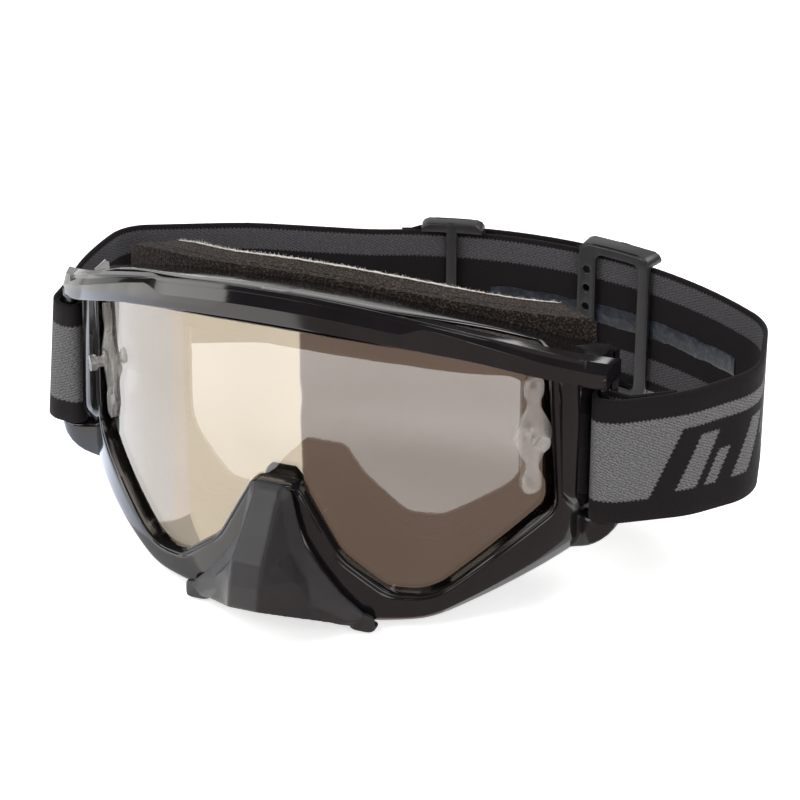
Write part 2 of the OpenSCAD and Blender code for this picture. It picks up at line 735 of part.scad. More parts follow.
// The ring and the slider are curved blocks, with one window cut round their bars
rail_gap = 0.4;
cut_over = 1;
buckle_corner_r = 4.5;
function sweep(r, a0, a1) =
    let (n = max(1, ceil(abs(a1 - a0) / arc_grain)))
    [for (i = [0:n]) on_arc(a0 + (a1 - a0) * i / n, r)];
module buckle(r_out, a0, a1, window) {
    rail_low = strap_low_z - rail_gap - rail_h;
    rail_high = strap_top_z + rail_gap + rail_h;
    half_w = sin((a1 - a0) / 2) * r_out;
    difference() {
        intersection() {
            translate([0, 0, rail_low - 1]) linear_extrude(rail_high - rail_low + 2)
                polygon(concat(sweep(inner_bar_r0, a0, a1), sweep(r_out, a1, a0)));
            translate([arc_centre[0], arc_centre[1], 0]) rotate([0, 0, -(a0 + a1) / 2])
                prism([for (c = [[-1, rail_high], [1, rail_high], [1, rail_low], [-1, rail_low]])
                    [c[0] * half_w, c[1], buckle_corner_r]], 0, r_out + 10);
        }
        translate([0, 0, strap_low_z - rail_gap]) linear_extrude(strap_w + 2 * rail_gap)
            polygon(window);
    }
}
ring_mid_a = along(ring_mid_w / 2);
module strap_ring() {
    color("#222123") buckle(ring_bar_r1, ring_a0, ring_a1, concat(
        sweep(ring_bar_r1 + cut_over, ring_edge_left, ring_edge_right),
        sweep(ring_bar_r0, ring_edge_right, ring_a1 + cut_over),
        sweep(inner_bar_r0 - cut_over, ring_a1 + cut_over, ring_angle + ring_mid_a),
        sweep(inner_bar_r1, ring_angle + ring_mid_a, ring_angle - ring_mid_a),
        sweep(inner_bar_r0 - cut_over, ring_angle - ring_mid_a, ring_a0 - cut_over),
        sweep(ring_bar_r0, ring_a0 - cut_over, ring_edge_left)));
}
dimple_r = 1.3;
dimple_pitch = 6.6;
dimple_n = 6;
module strap_slider() {
    left_edge = slider_a0 + along(slider_left_w);
    right_edge = slider_a1 - along(slider_right_w);
    color("#222123") difference() {
        buckle(slider_bar_r1, slider_a0, slider_a1, concat(
            sweep(slider_bar_r1 + cut_over, slider_a0 - cut_over, mid_a0),
            sweep(slider_bar_r0, mid_a0, mid_a1),
            sweep(slider_bar_r1 + cut_over, mid_a1, slider_a1 + cut_over),
            sweep(inner_bar_r1, slider_a1 + cut_over, right_edge),
            sweep(inner_bar_r0 - cut_over, right_edge, left_edge),
            sweep(inner_bar_r1, left_edge, slider_a0 - cut_over)));
        for (i = [0:dimple_n - 1])
            translate([arc_centre[0], arc_centre[1], (strap_top_z + strap_low_z) / 2
                + (i - (dimple_n - 1) / 2) * dimple_pitch])
                rotate([0, 0, -slider_a0 - along(slider_left_w / 2)]) rotate([-90, 0, 0])
                    translate([0, 0, inner_bar_r0 - 2]) cylinder(r = dimple_r, h = bar_t + 3);
    }
}
// Silicone stripes on the inside of the webbing
grip_mid_z = (strap_top_z + strap_low_z) / 2;
grip_off = (strap_t + grip_t) / 2;
module grip_strip_right() {
    path = [for (a = [arc_right - arc_grain:-arc_grain:ring_a1 + 1])
        on_arc(a, strap_arc_r - grip_off)];
    color("#39404c") webbing(path, grip_t, grip_mid_z - grip_w / 2, grip_mid_z + grip_w / 2);
}
grip_left_span = [-88, -22];
module grip_strip_left() {
    run = beside(open_rounded(run_left), -grip_off);
    path = [for (p = run) if (p[1] > 50 && p[0] > grip_left_span[0] && p[0] < grip_left_span[1]) p];
    color("#39404c") webbing(path, grip_t, grip_mid_z - grip_w / 2, grip_mid_z + grip_w / 2);
}
// Rows of thread on the inner face of each sewn tail
tack_t = 0.4;
tack_w = 1.6;
tack_margin = 2;
module tack(tail_pts, side, at) {
    d = unit(tail_pts[0] - tail_pts[1]);
    p = tail_pts[1] + d * at + left_of(d) * side * (strap_t + tack_t) / 2;
    webbing([p, p + d * tack_w], tack_t, strap_low_z + tack_margin, strap_top_z - tack_margin);
}
module bar_tacks() {
    color("#1d1d1f") for (at = [1.5, sewn_tail - tack_w - 1.5]) {
        tack(tail_right, 1, at);
        tack(tail_left, -1, at);
    }
}

// Arms that carry the frame's strap bars
arm_clear = 0.4;
lower_arm_t = 3.9;
upper_arm_t = 3.8;
lower_arm_plan = [[frame_half_w, -1], [frame_half_w + 4, -1.5], [frame_half_w + 9, 2.6],
    [frame_half_w + 7.5, 8.5], [frame_half_w, 7.8]];
upper_arm_plan = [[frame_half_w, -1], [brow_half_w - 0.5, -1], [brow_half_w - 0.5, 7.5],
    [frame_half_w, 7.8]];
module strap_mount(side) {
    lower_z = strap_low_z - arm_clear;
    upper_z = strap_top_z + arm_clear;
    color("#19181b") mirror([side > 0 ? 0 : 1, 0, 0]) difference() {
        union() {
            translate([0, 0, lower_z - lower_arm_t]) linear_extrude(lower_arm_t)
                polygon(lower_arm_plan);
            translate([0, 0, upper_z]) linear_extrude(upper_arm_t) polygon(upper_arm_plan);
            translate([bar_x, bar_y, lower_z - 1]) cylinder(r = strap_bar_r, h = upper_z - lower_z + 2);
        }
        prism(brow_outline);
    }
}
module strap_mount_left() { strap_mount(-1); }
module strap_mount_right() { strap_mount(1); }

front_rim();
brow_bar();
frame_shell();
face_flange();
strap_mount_left();
strap_mount_right();
lens();
post_left();
post_right();
post_clip_left();
post_clip_right();
nose_guard();
upper_vent_foam_left();
upper_vent_foam_right();
lower_vent_foam_left();
lower_vent_foam_right();
foam_base();
foam_cushion();
fleece_lining();
strap_left();
strap_right();
strap_return();
strap_ring();
strap_slider();
grip_strip_left();
grip_strip_right();
bar_tacks();
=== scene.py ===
"""Looks of the motocross goggles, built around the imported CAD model.

Sizes are in millimetres in this script and turned to metres where a mesh is made. X runs
across the face, Z is up, the forehead is at Y = 0, and the lens faces -Y.
"""

import logging
import math
from dataclasses import dataclass
from enum import Enum
from typing import Any, Callable, Dict, List, Optional, Sequence, Tuple

import bmesh
import bpy
import numpy as np
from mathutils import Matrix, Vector


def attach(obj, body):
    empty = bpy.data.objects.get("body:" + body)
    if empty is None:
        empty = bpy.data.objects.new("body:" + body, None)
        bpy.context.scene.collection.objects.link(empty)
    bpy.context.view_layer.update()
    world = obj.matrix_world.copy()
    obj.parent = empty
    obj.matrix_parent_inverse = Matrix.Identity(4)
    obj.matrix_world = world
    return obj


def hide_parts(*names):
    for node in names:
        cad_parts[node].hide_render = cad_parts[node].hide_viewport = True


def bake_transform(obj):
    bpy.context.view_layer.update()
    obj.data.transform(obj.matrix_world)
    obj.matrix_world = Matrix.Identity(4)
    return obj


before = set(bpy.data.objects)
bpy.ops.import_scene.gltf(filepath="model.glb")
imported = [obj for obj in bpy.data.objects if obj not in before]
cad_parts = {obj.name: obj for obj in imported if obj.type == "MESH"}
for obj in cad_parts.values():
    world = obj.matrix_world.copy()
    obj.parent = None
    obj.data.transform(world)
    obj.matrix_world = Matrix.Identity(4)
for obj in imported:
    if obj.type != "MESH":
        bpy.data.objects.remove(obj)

log = logging.getLogger("goggles")
MM = 0.001
# Points nearer than this, in metres, are one
WELD = 1e-7
Pair = Tuple[float, float]
Triple = Tuple[float, float, float]
Piece = bpy.types.Object
Tree = bpy.types.NodeTree
Node = bpy.types.Node
Socket = bpy.types.NodeSocket


class Body(Enum):
    """The CAD bodies that pieces ride on."""

    FRAME = "frame"
    SLIDER = "strap_slider"
    GUARD = "nose_guard"


class Side(Enum):
    """The wearer's two sides, as the sign of X."""

    LEFT = -1
    RIGHT = 1


# ---------------------------------------------------------------- outlines in a plane


def unit(v: np.ndarray) -> np.ndarray:
    """The vector at length one."""
    return v / np.linalg.norm(v)


def left_of(v: np.ndarray) -> np.ndarray:
    """The vector turned a quarter to the left."""
    return np.array([-v[1], v[0]])


def normals(line: np.ndarray) -> np.ndarray:
    """The direction to the left of a path, one row for each of its points."""
    ahead = np.gradient(line, axis=0)
    ahead /= np.linalg.norm(ahead, axis=1)[:, None]
    return np.stack([-ahead[:, 1], ahead[:, 0]], axis=1)


def around(count: int) -> np.ndarray:
    """Angles that go once round, in equal steps."""
    return np.linspace(0, 2 * math.pi, count + 1)[:-1]


def xyz(x: Any, y: Any, z: Any) -> np.ndarray:
    """Points as rows, from their coordinates as columns or single values."""
    return np.stack(np.broadcast_arrays(x, y, z), axis=-1)


def round_box(u: Pair, v: Pair, r: float, steps: int) -> np.ndarray:
    """A rounded rectangle.

    Args:
        u: Its two ends in the first direction.
        v: Its two ends in the second direction.
        r: Radius of its corners.
        steps: Steps from one end of a corner's arc to the other.

    Returns:
        Its points as two rows, u and v.
    """
    corners = ((u[1] - r, v[1] - r, 0), (u[0] + r, v[1] - r, 90), (u[0] + r, v[0] + r, 180),
               (u[1] - r, v[0] + r, 270))
    points = []
    for cu, cv, start in corners:
        for k in range(steps + 1):
            a = math.radians(start + 90 / steps * k)
            points.append((cu + r * math.cos(a), cv + r * math.sin(a)))
    return np.array(points).T


def on_cylinder(x: Any, axis_y: float, radius: Any) -> Any:
    """Y of a point at x on the front of an upright cylinder."""
    return axis_y - np.sqrt(np.maximum(np.asarray(radius, float) ** 2 - np.asarray(x, float) ** 2, 0))


def fillet(a: np.ndarray, b: np.ndarray, c: np.ndarray, r: float, step: float = 6.0) -> List[np.ndarray]:
    """Points of the arc that rounds a corner.

    Args:
        a: The corner before.
        b: The corner that is rounded.
        c: The corner after.
        r: Radius of the arc.
        step: Greatest turn between two points, in degrees.

    Returns:
        The arc's points, from the side of a to the side of c.
    """
    u, w = unit(a - b), unit(c - b)
    half = math.acos(max(-1.0, min(1.0, float(u @ w)))) / 2
    centre = b + unit(u + w) * r / math.sin(half)
    back = r / math.tan(half)
    start, end = b + u * back - centre, b + w * back - centre
    a0 = math.atan2(start[1], start[0])
    turn = (math.atan2(end[1], end[0]) - a0 + math.pi) % (2 * math.pi) - math.pi
    count = max(2, math.ceil(abs(math.degrees(turn)) / step))
    return [centre + r * np.array([math.cos(a0 + turn * i / count), math.sin(a0 + turn * i / count)])
            for i in range(count + 1)]


def rounded(corners: Sequence[Triple]) -> np.ndarray:
    """An open path through corners given as (x, z, radius), with its corners rounded."""
    spots = [np.array(c[:2], float) for c in corners]
    path: List[np.ndarray] = []
    for i, (spot, corner) in enumerate(zip(spots, corners)):
        if i in (0, len(corners) - 1) or corner[2] <= 0:
            path.append(spot)
        else:
            path.extend(fillet(spots[i - 1], spot, spots[i + 1], corner[2]))
    return np.array(path)


def mitred(before: np.ndarray, here: np.ndarray, after: np.ndarray, d: float) -> Tuple[np.ndarray, float]:
    """A corner moved so that both of its sides move left by d, and the sine of its turn."""
    t1, t2 = unit(here - before), unit(after - here)
    n1, n2 = left_of(t1), left_of(t2)
    return here + d * (n1 + n2) / (1 + n1 @ n2), t1[0] * t2[1] - t1[1] * t2[0]


def grown(corners: Sequence[Triple], d: float) -> List[Triple]:
    """Half an outline, clockwise from the top middle, moved outwards by d.

    Args:
        corners: Corners (x, z, radius) of the right half, the first and last on the midline.
        d: Distance, positive outwards.

    Returns:
        The moved corners, with their radii grown or shrunk to suit.
    """
    spots = [np.array(c[:2], float) for c in corners]
    first = spots[1] * [-1, 1]
    last = spots[-2] * [-1, 1]
    ring = [first, *spots, last]
    moved: List[Triple] = []
    for i, corner in enumerate(corners):
        spot, turn = mitred(ring[i], ring[i + 1], ring[i + 2], d)
        radius = 0.0 if corner[2] <= 0 else max(0.3, corner[2] + (d if turn < 0 else -d))
        moved.append((float(spot[0]), float(spot[1]), radius))
    return moved


def lengths(path: np.ndarray) -> np.ndarray:
    """The distance of each point along an open path."""
    steps = np.linalg.norm(np.diff(path, axis=0), axis=1)
    return np.concatenate([[0.0], np.cumsum(steps)])


def at_lengths(path: np.ndarray, where: np.ndarray) -> np.ndarray:
    """The points of a path at the given distances along it."""
    s = lengths(path)
    return np.stack([np.interp(where, s, path[:, k]) for k in range(path.shape[1])], axis=1)


def evenly(path: np.ndarray, count: int) -> np.ndarray:
    """A number of points at even distances along a path."""
    return at_lengths(path, np.linspace(0, lengths(path)[-1], count))


def nearest_length(path: np.ndarray, spot: Pair) -> float:
    """The distance along a path at which it passes nearest to a spot."""
    dense = np.linspace(0, lengths(path)[-1], 2000)
    points = at_lengths(path, dense)
    return float(dense[np.argmin(np.linalg.norm(points - np.array(spot), axis=1))])


def matched(inner: np.ndarray, outer: np.ndarray, pairs: Sequence[Tuple[Pair, Pair]],
            step: float) -> Tuple[np.ndarray, np.ndarray]:
    """Samples two paths so that the points with one index face each other.

    Args:
        inner: The first path.
        outer: The second path.
        pairs: Spots on the first and second path that face each other, in order.
        step: Distance between samples on the longer path.

    Returns:
        The samples of the two paths, equally many.
    """
    a = [0.0, *[nearest_length(inner, p[0]) for p in pairs], lengths(inner)[-1]]
    b = [0.0, *[nearest_length(outer, p[1]) for p in pairs], lengths(outer)[-1]]
    sa: List[float] = []
    sb: List[float] = []
    for i in range(len(a) - 1):
        count = max(3, math.ceil(max(a[i + 1] - a[i], b[i + 1] - b[i]) / step))
        sa.extend(np.linspace(a[i], a[i + 1], count, endpoint=False))
        sb.extend(np.linspace(b[i], b[i + 1], count, endpoint=False))
    return at_lengths(inner, np.array([*sa, a[-1]])), at_lengths(outer, np.array([*sb, b[-1]]))


def mirrored(half: np.ndarray) -> np.ndarray:
    """A closed loop made of a right half and its mirror image, without doubled end points."""
    flipped = half[-2:0:-1].copy()
    flipped[:, 0] *= -1
    return np.concatenate([half, flipped])


def smoothstep(low: float, high: float, x: Any) -> Any:
    """Rises smoothly from 0 at low to 1 at high."""
    t = np.clip((np.asarray(x, float) - low) / (high - low), 0, 1)
    return t * t * (3 - 2 * t)


# ---------------------------------------------------------------- meshes


def linked(name: str, data: Any) -> Piece:
    """A new object with that data, in the scene."""
    obj = bpy.data.objects.new(name, data)
    bpy.context.scene.collection.objects.link(obj)
    return obj


def shaded(bm: bmesh.types.BMesh, sharp: float) -> None:
    """Turns faces outwards and smooth, but keeps edges sharp that turn by more than an angle in degrees."""
    bmesh.ops.recalc_face_normals(bm, faces=bm.faces)
    for face in bm.faces:
        face.smooth = True
    for edge in bm.edges:
        edge.smooth = not (len(edge.link_faces) == 2 and edge.calc_face_angle(0) > math.radians(sharp))


def evaluated(obj: Piece) -> bpy.types.Mesh:
    """The mesh that an object's curve or modifiers give."""
    graph = bpy.context.evaluated_depsgraph_get()
    graph.update()
    return bpy.data.meshes.new_from_object(obj.evaluated_get(graph))


def new_mesh(name: str, points: np.ndarray, faces: Sequence[Sequence[int]], sharp: float = 40.0) -> Piece:
    """A mesh object with smooth shading and sharp edges where it turns enough.

    Args:
        name: Name of the piece.
        points: Points in millimetres, one row each.
        faces: Indices of each face's points.
        sharp: Angle between faces, in degrees, above which an edge stays sharp.

    Returns:
        The new object.
    """
    mesh = bpy.data.meshes.new(name)
    mesh.from_pydata([tuple(p) for p in np.asarray(points, float) * MM], [], [list(f) for f in faces])
    bm = bmesh.new()
    bm.from_mesh(mesh)
    bmesh.ops.remove_doubles(bm, verts=bm.verts, dist=WELD)
    bmesh.ops.dissolve_degenerate(bm, edges=bm.edges, dist=WELD)
    shaded(bm, sharp)
    bm.to_mesh(mesh)
    bm.free()
    return linked(name, mesh)


def grid_faces(rows: int, cols: int, close_rows: bool, close_cols: bool) -> List[List[int]]:
    """Quads of a grid of points, whose rows or columns may close on themselves."""
    faces = []
    for r in range(rows if close_rows else rows - 1):
        for c in range(cols if close_cols else cols - 1):
            r1, c1 = (r + 1) % rows, (c + 1) % cols
            faces.append([r * cols + c, r * cols + c1, r1 * cols + c1, r1 * cols + c])
    return faces


def grid_mesh(name: str, grid: np.ndarray, close_rows: bool = False, close_cols: bool = False,
              sharp: float = 40.0) -> Piece:
    """A mesh through a grid of points.

    Args:
        name: Name of the piece.
        grid: Points with shape (rows, columns, 3), in millimetres.
        close_rows: Whether the last row joins the first.
        close_cols: Whether the last column joins the first.
        sharp: Angle above which an edge stays sharp.

    Returns:
        The new object.
    """
    return new_mesh(name, grid.reshape(-1, 3), grid_faces(*grid.shape[:2], close_rows, close_cols), sharp)


def tube(name: str, rings: Sequence[np.ndarray], sharp: float = 40.0) -> Piece:
    """A mesh through closed rings of points, with a face over the first and the last."""
    grid = np.array(rings)
    count, sides = grid.shape[:2]
    faces = grid_faces(count, sides, False, True)
    faces += [list(range(sides)), list(range((count - 1) * sides, count * sides))]
    return new_mesh(name, grid.reshape(-1, 3), faces, sharp)


def joined(name: str, parts: Sequence[Piece]) -> Piece:
    """One object made of several meshes, which are used up."""
    bm = bmesh.new()
    for part in parts:
        bm.from_mesh(part.data)
    mesh = bpy.data.meshes.new(name)
    bm.to_mesh(mesh)
    bm.free()
    obj = linked(name, mesh)
    for part in parts:
        bpy.data.objects.remove(part)
    return obj


def modify(obj: Piece, kind: str, **settings: Any) -> bpy.types.Modifier:
    """Adds a modifier with its settings."""
    modifier = obj.modifiers.new(kind.title(), kind)
    for key, value in settings.items():
        setattr(modifier, key, value)
    return modifier


def bevel(obj: Piece, width: float, segments: int, angle: float) -> None:
    """Rounds the edges that turn by more than an angle in degrees."""
    modify(obj, "BEVEL", width=width * MM, segments=segments, limit_method="ANGLE",
           angle_limit=math.radians(angle))


def pores(obj: Piece, size: float, height: float) -> None:
    """Breaks a foam skin up with pores of that size and height, as real geometry."""
    texture = bpy.data.textures.new(f"{obj.name}_pores", "CLOUDS")
    texture.noise_scale = size * MM
    texture.noise_depth = 2
    modify(obj, "DISPLACE", texture=texture, strength=height * MM, mid_level=0.5, texture_coords="LOCAL")


def applied(obj: Piece) -> Piece:
    """The object with its modifiers made part of its mesh."""
    mesh = evaluated(obj)
    obj.modifiers.clear()
    obj.data = mesh
    return obj


# ---------------------------------------------------------------- materials


def linear(hex_colour: str, alpha: float = 1.0) -> Tuple[float, float, float, float]:
    """A linear colour from an sRGB hex value."""
    channels = [int(hex_colour[i:i + 2], 16) / 255 for i in (1, 3, 5)]
    r, g, b = (c / 12.92 if c <= 0.04045 else ((c + 0.055) / 1.055) ** 2.4 for c in channels)
    return r, g, b, alpha


def per_mm(size: float) -> float:
    """Texture scale at which one cell is that many millimetres."""
    return 1 / (size * MM)


def fresh_tree(owner: Any) -> Tree:
    """The empty node tree of a material or world."""
    owner.use_nodes = True
    owner.node_tree.nodes.clear()
    return owner.node_tree


def add(tree: Tree, kind: str, inputs: Optional[Dict[Any, Any]] = None,
        **settings: Any) -> Node:
    """Adds a node, sets its properties and sockets, and links what comes in.

    Args:
        tree: Node tree of the material or world.
        kind: Node type without its ShaderNode prefix.
        inputs: Values or sockets by the input's name or number.
        settings: Properties of the node.

    Returns:
        The node.
    """
    node = tree.nodes.new("ShaderNode" + kind)
    for key, value in settings.items():
        setattr(node, key, value)
    for name, value in (inputs or {}).items():
        if isinstance(value, Socket):
            tree.links.new(value, node.inputs[name])
        else:
            node.inputs[name].default_value = value
    return node


def calc(tree: Tree, operation: str, a: Any, b: Any = 0.0, c: Any = 0.0) -> Socket:
    """One arithmetic step."""
    return add(tree, "Math", {0: a, 1: b, 2: c}, operation=operation).outputs[0]


def noise(tree: Tree, where: Socket, size: float, detail: float, **more: float) -> Socket:
    """Fractal noise with cells of that many millimetres."""
    return add(tree, "TexNoise", {
        "Vector": where, "Scale": per_mm(size), "Detail": detail, **more}).outputs["Fac"]


def turned(tree: Tree, where: Socket, degrees: float = 0.0,
           scale: Tuple[float, float, float] = (1.0, 1.0, 1.0)) -> Socket:
    """A position turned about Z and stretched."""
    return add(tree, "Mapping", {
        "Vector": where, "Rotation": (0, 0, math.radians(degrees)), "Scale": scale}).outputs[0]


def spread(tree: Tree, value: Socket, low: float, high: float,
           source: Pair = (0.0, 1.0)) -> Socket:
    """A value whose source range is mapped to run from low to high."""
    return add(tree, "MapRange", {
        "Value": value, "From Min": source[0], "From Max": source[1], "To Min": low, "To Max": high}).outputs[0]


def bumped(tree: Tree, height: Socket, strength: float, depth: float) -> Socket:
    """Normals bent by a height map that is that many millimetres deep."""
    return add(tree, "Bump", {
        "Height": height, "Strength": strength, "Distance": depth * MM}).outputs["Normal"]


def ramp(tree: Tree, factor: Socket, stops: Sequence[Tuple[float, str]]) -> Socket:
    """A colour ramp with hex colours at its stops."""
    node = add(tree, "ValToRGB", {"Fac": factor})
    elements = node.color_ramp.elements
    while len(elements) < len(stops):
        elements.new(0.5)
    for element, (position, colour) in zip(elements, stops):
        element.position = position
        element.color = linear(colour)
    return node.outputs["Color"]


def seen_sharply(tree: Tree) -> Socket:
    """One for camera, transmission and glossy rays, nought for the rest."""
    path = add(tree, "LightPath").outputs
    seen = calc(tree, "MAXIMUM", path["Is Camera Ray"], path["Is Transmission Ray"])
    return calc(tree, "MAXIMUM", seen, path["Is Glossy Ray"])


@dataclass(frozen=True)
class Finish:
    """A surface finish: what the real material is and how its surface was made."""

    name: str

    def material(self) -> bpy.types.Material:
        """The finish's material, made on its first use."""
        found = bpy.data.materials.get(self.name)
        if found:
            return found
        material = bpy.data.materials.new(self.name)
        tree = fresh_tree(material)
        shader = self.shade(tree, add(tree, "TexCoord").outputs)
        add(tree, "OutputMaterial", {"Surface": shader.outputs[0]})
        return material

    def shade(self, tree: Tree, at: Any) -> Node:
        """Adds the finish's nodes.

        Args:
            tree: Node tree of the material.
            at: Texture coordinates by name.

        Returns:
            The shader node.
        """
        raise NotImplementedError


@dataclass(frozen=True)
class GlossTpu(Finish):
    """Thermoplastic polyurethane from a polished mould: deep black, clear reflections, faint ripple."""

    name: str = "moulded_gloss_tpu"
    base: str = "#121012"
    hazed: str = "#1a171a"
    roughness: float = 0.07
    ripple_mm: float = 9.0
    ripple_height: float = 0.12
    haze_mm: float = 14.0

    def shade(self, tree: Tree, at: Any) -> Node:
        """Adds the nodes: polished black with a long-waved ripple and a little handling haze."""
        haze = noise(tree, at["Object"], self.haze_mm, 5.0)
        ripple = noise(tree, at["Object"], self.ripple_mm, 1.0)
        return add(tree, "BsdfPrincipled", {
            "Base Color": ramp(tree, haze, [(0.3, self.base), (0.8, self.hazed)]),
            "Roughness": spread(tree, haze, self.roughness, self.roughness + 0.09, (0.35, 0.75)),
            "IOR": 1.5, "Normal": bumped(tree, ripple, 0.25, self.ripple_height)})


@dataclass(frozen=True)
class MatteTpu(Finish):
    """Thermoplastic polyurethane from a spark-eroded mould: fine even grain that kills the gloss."""

    name: str = "moulded_matte_tpu"
    base: str = "#232123"
    worn: str = "#2f2d2f"
    roughness: float = 0.5
    grain_mm: float = 0.35
    cloud_mm: float = 16.0

    def shade(self, tree: Tree, at: Any) -> Node:
        """Adds the nodes: grained dark grey with paler rubbed clouds."""
        cloud = noise(tree, at["Object"], self.cloud_mm, 6.0, Roughness=0.6)
        grain = noise(tree, at["Object"], self.grain_mm, 2.0)
        return add(tree, "BsdfPrincipled", {
            "Base Color": ramp(tree, cloud, [(0.3, self.base), (0.75, self.worn)]),
            "Roughness": spread(tree, cloud, self.roughness - 0.1, self.roughness + 0.12),
            "IOR": 1.5, "Normal": bumped(tree, grain, 0.35, 0.05)})


@dataclass(frozen=True)
class MirroredPolycarbonate(Finish):
    """Tinted polycarbonate sheet with a vacuum-coated champagne half mirror on both faces."""

    name: str = "vacuum_mirrored_polycarbonate"
    coat: str = "#a99f91"
    thin: str = "#9f9586"
    alpha: float = 0.57
    roughness: float = 0.025
    drift_mm: float = 60.0
    streak_mm: float = 1.6

    def shade(self, tree: Tree, at: Any) -> Node:
        """Adds the nodes: a metallic mirror that lets part of the light through."""
        drift = noise(tree, at["Object"], self.drift_mm, 2.0)
        streak = noise(tree, turned(tree, at["Object"], scale=(1.0, 1.0, 0.12)), self.streak_mm, 3.0)
        return add(tree, "BsdfPrincipled", {
            "Base Color": ramp(tree, drift, [(0.3, self.thin), (0.7, self.coat)]), "Metallic": 1.0,
            "Roughness": spread(tree, streak, self.roughness, self.roughness + 0.05), "Alpha": self.alpha})


@dataclass(frozen=True)
class ClearPolycarbonate(Finish):
    """Injection-moulded clear polycarbonate with faint flow marks inside."""

    name: str = "moulded_clear_polycarbonate"
    tint: str = "#fdfbf8"
    flow_tint: str = "#f1eeea"
    flow_mm: float = 2.2

    def shade(self, tree: Tree, at: Any) -> Node:
        """Adds the nodes: clear glassy plastic with wavy skin."""
        flow = noise(tree, at["Object"], self.flow_mm, 2.0)
        return add(tree, "BsdfPrincipled", {
            "Base Color": ramp(tree, flow, [(0.35, self.flow_tint), (0.6, self.tint)]), "Roughness": 0.03,
            "IOR": 1.58, "Transmission Weight": 0.75, "Alpha": 0.42,
            "Normal": bumped(tree, flow, 0.03, 0.05)})


@dataclass(frozen=True)
class OpenCellFoam(Finish):
    """Reticulated polyether foam, skived from a block: open pores and a soft broken surface."""

    name: str = "skived_open_cell_foam"
    # The pit colour is painted shade in the pores, and the glint colour a painted highlight on the cell walls'
    # ends
    pit_shade: str = "#0f0c0b"
    wall: str = "#2b2420"
    glint: str = "#5a4f48"
    pore_mm: float = 0.7
    warp_mm: float = 0.4

    def shade(self, tree: Tree, at: Any) -> Node:
        """Adds the nodes: cell walls with painted shade in the pits, and painted highlights on wall ends here
        and there.
        """
        where = at["Object"]
        warp = add(tree, "TexNoise", {"Vector": where, "Scale": per_mm(2.0), "Detail": 2.0}).outputs["Color"]
        warp = add(tree, "VectorMath", {0: warp, "Scale": self.warp_mm * MM}, operation="SCALE").outputs[0]
        warped = add(tree, "VectorMath", {0: where, 1: warp}, operation="ADD").outputs[0]
        cells = add(tree, "TexVoronoi", {"Vector": warped, "Scale": per_mm(self.pore_mm)})
        speck = noise(tree, where, 0.4, 3.0, Roughness=0.7)
        deep = calc(tree, "MULTIPLY", cells.outputs["Distance"], speck)
        return add(tree, "BsdfPrincipled", {
            "Base Color": ramp(tree, deep, [(0.05, self.pit_shade), (0.26, self.wall), (0.52, self.glint)]),
            "Roughness": 0.95, "Sheen Weight": 0.06, "Specular IOR Level": 0.1,
            "Normal": bumped(tree, deep, 0.9, 0.5)})


@dataclass(frozen=True)
class Fleece(Finish):
    """Brushed polyester fleece bonded to the foam: short white fibres."""

    name: str = "brushed_polyester_fleece"
    base: str = "#e9e5df"
    # The hollow colour is painted shade in the nap's hollows
    hollow: str = "#b9b2aa"

    def shade(self, tree: Tree, at: Any) -> Node:
        """Adds the nodes: off-white nap with small tufts, and painted shade in the hollows between them."""
        nap = noise(tree, at["Object"], 0.5, 4.0, Roughness=0.7)
        return add(tree, "BsdfPrincipled", {
            "Base Color": ramp(tree, nap, [(0.3, self.hollow), (0.6, self.base)]), "Roughness": 0.95,
            "Sheen Weight": 0.4, "Sheen Roughness": 0.5, "Normal": bumped(tree, nap, 0.8, 0.4)})


class WebbingFace(Enum):
    """The two faces of the woven strap."""

    OUTSIDE = "outside"
    INSIDE = "inside"


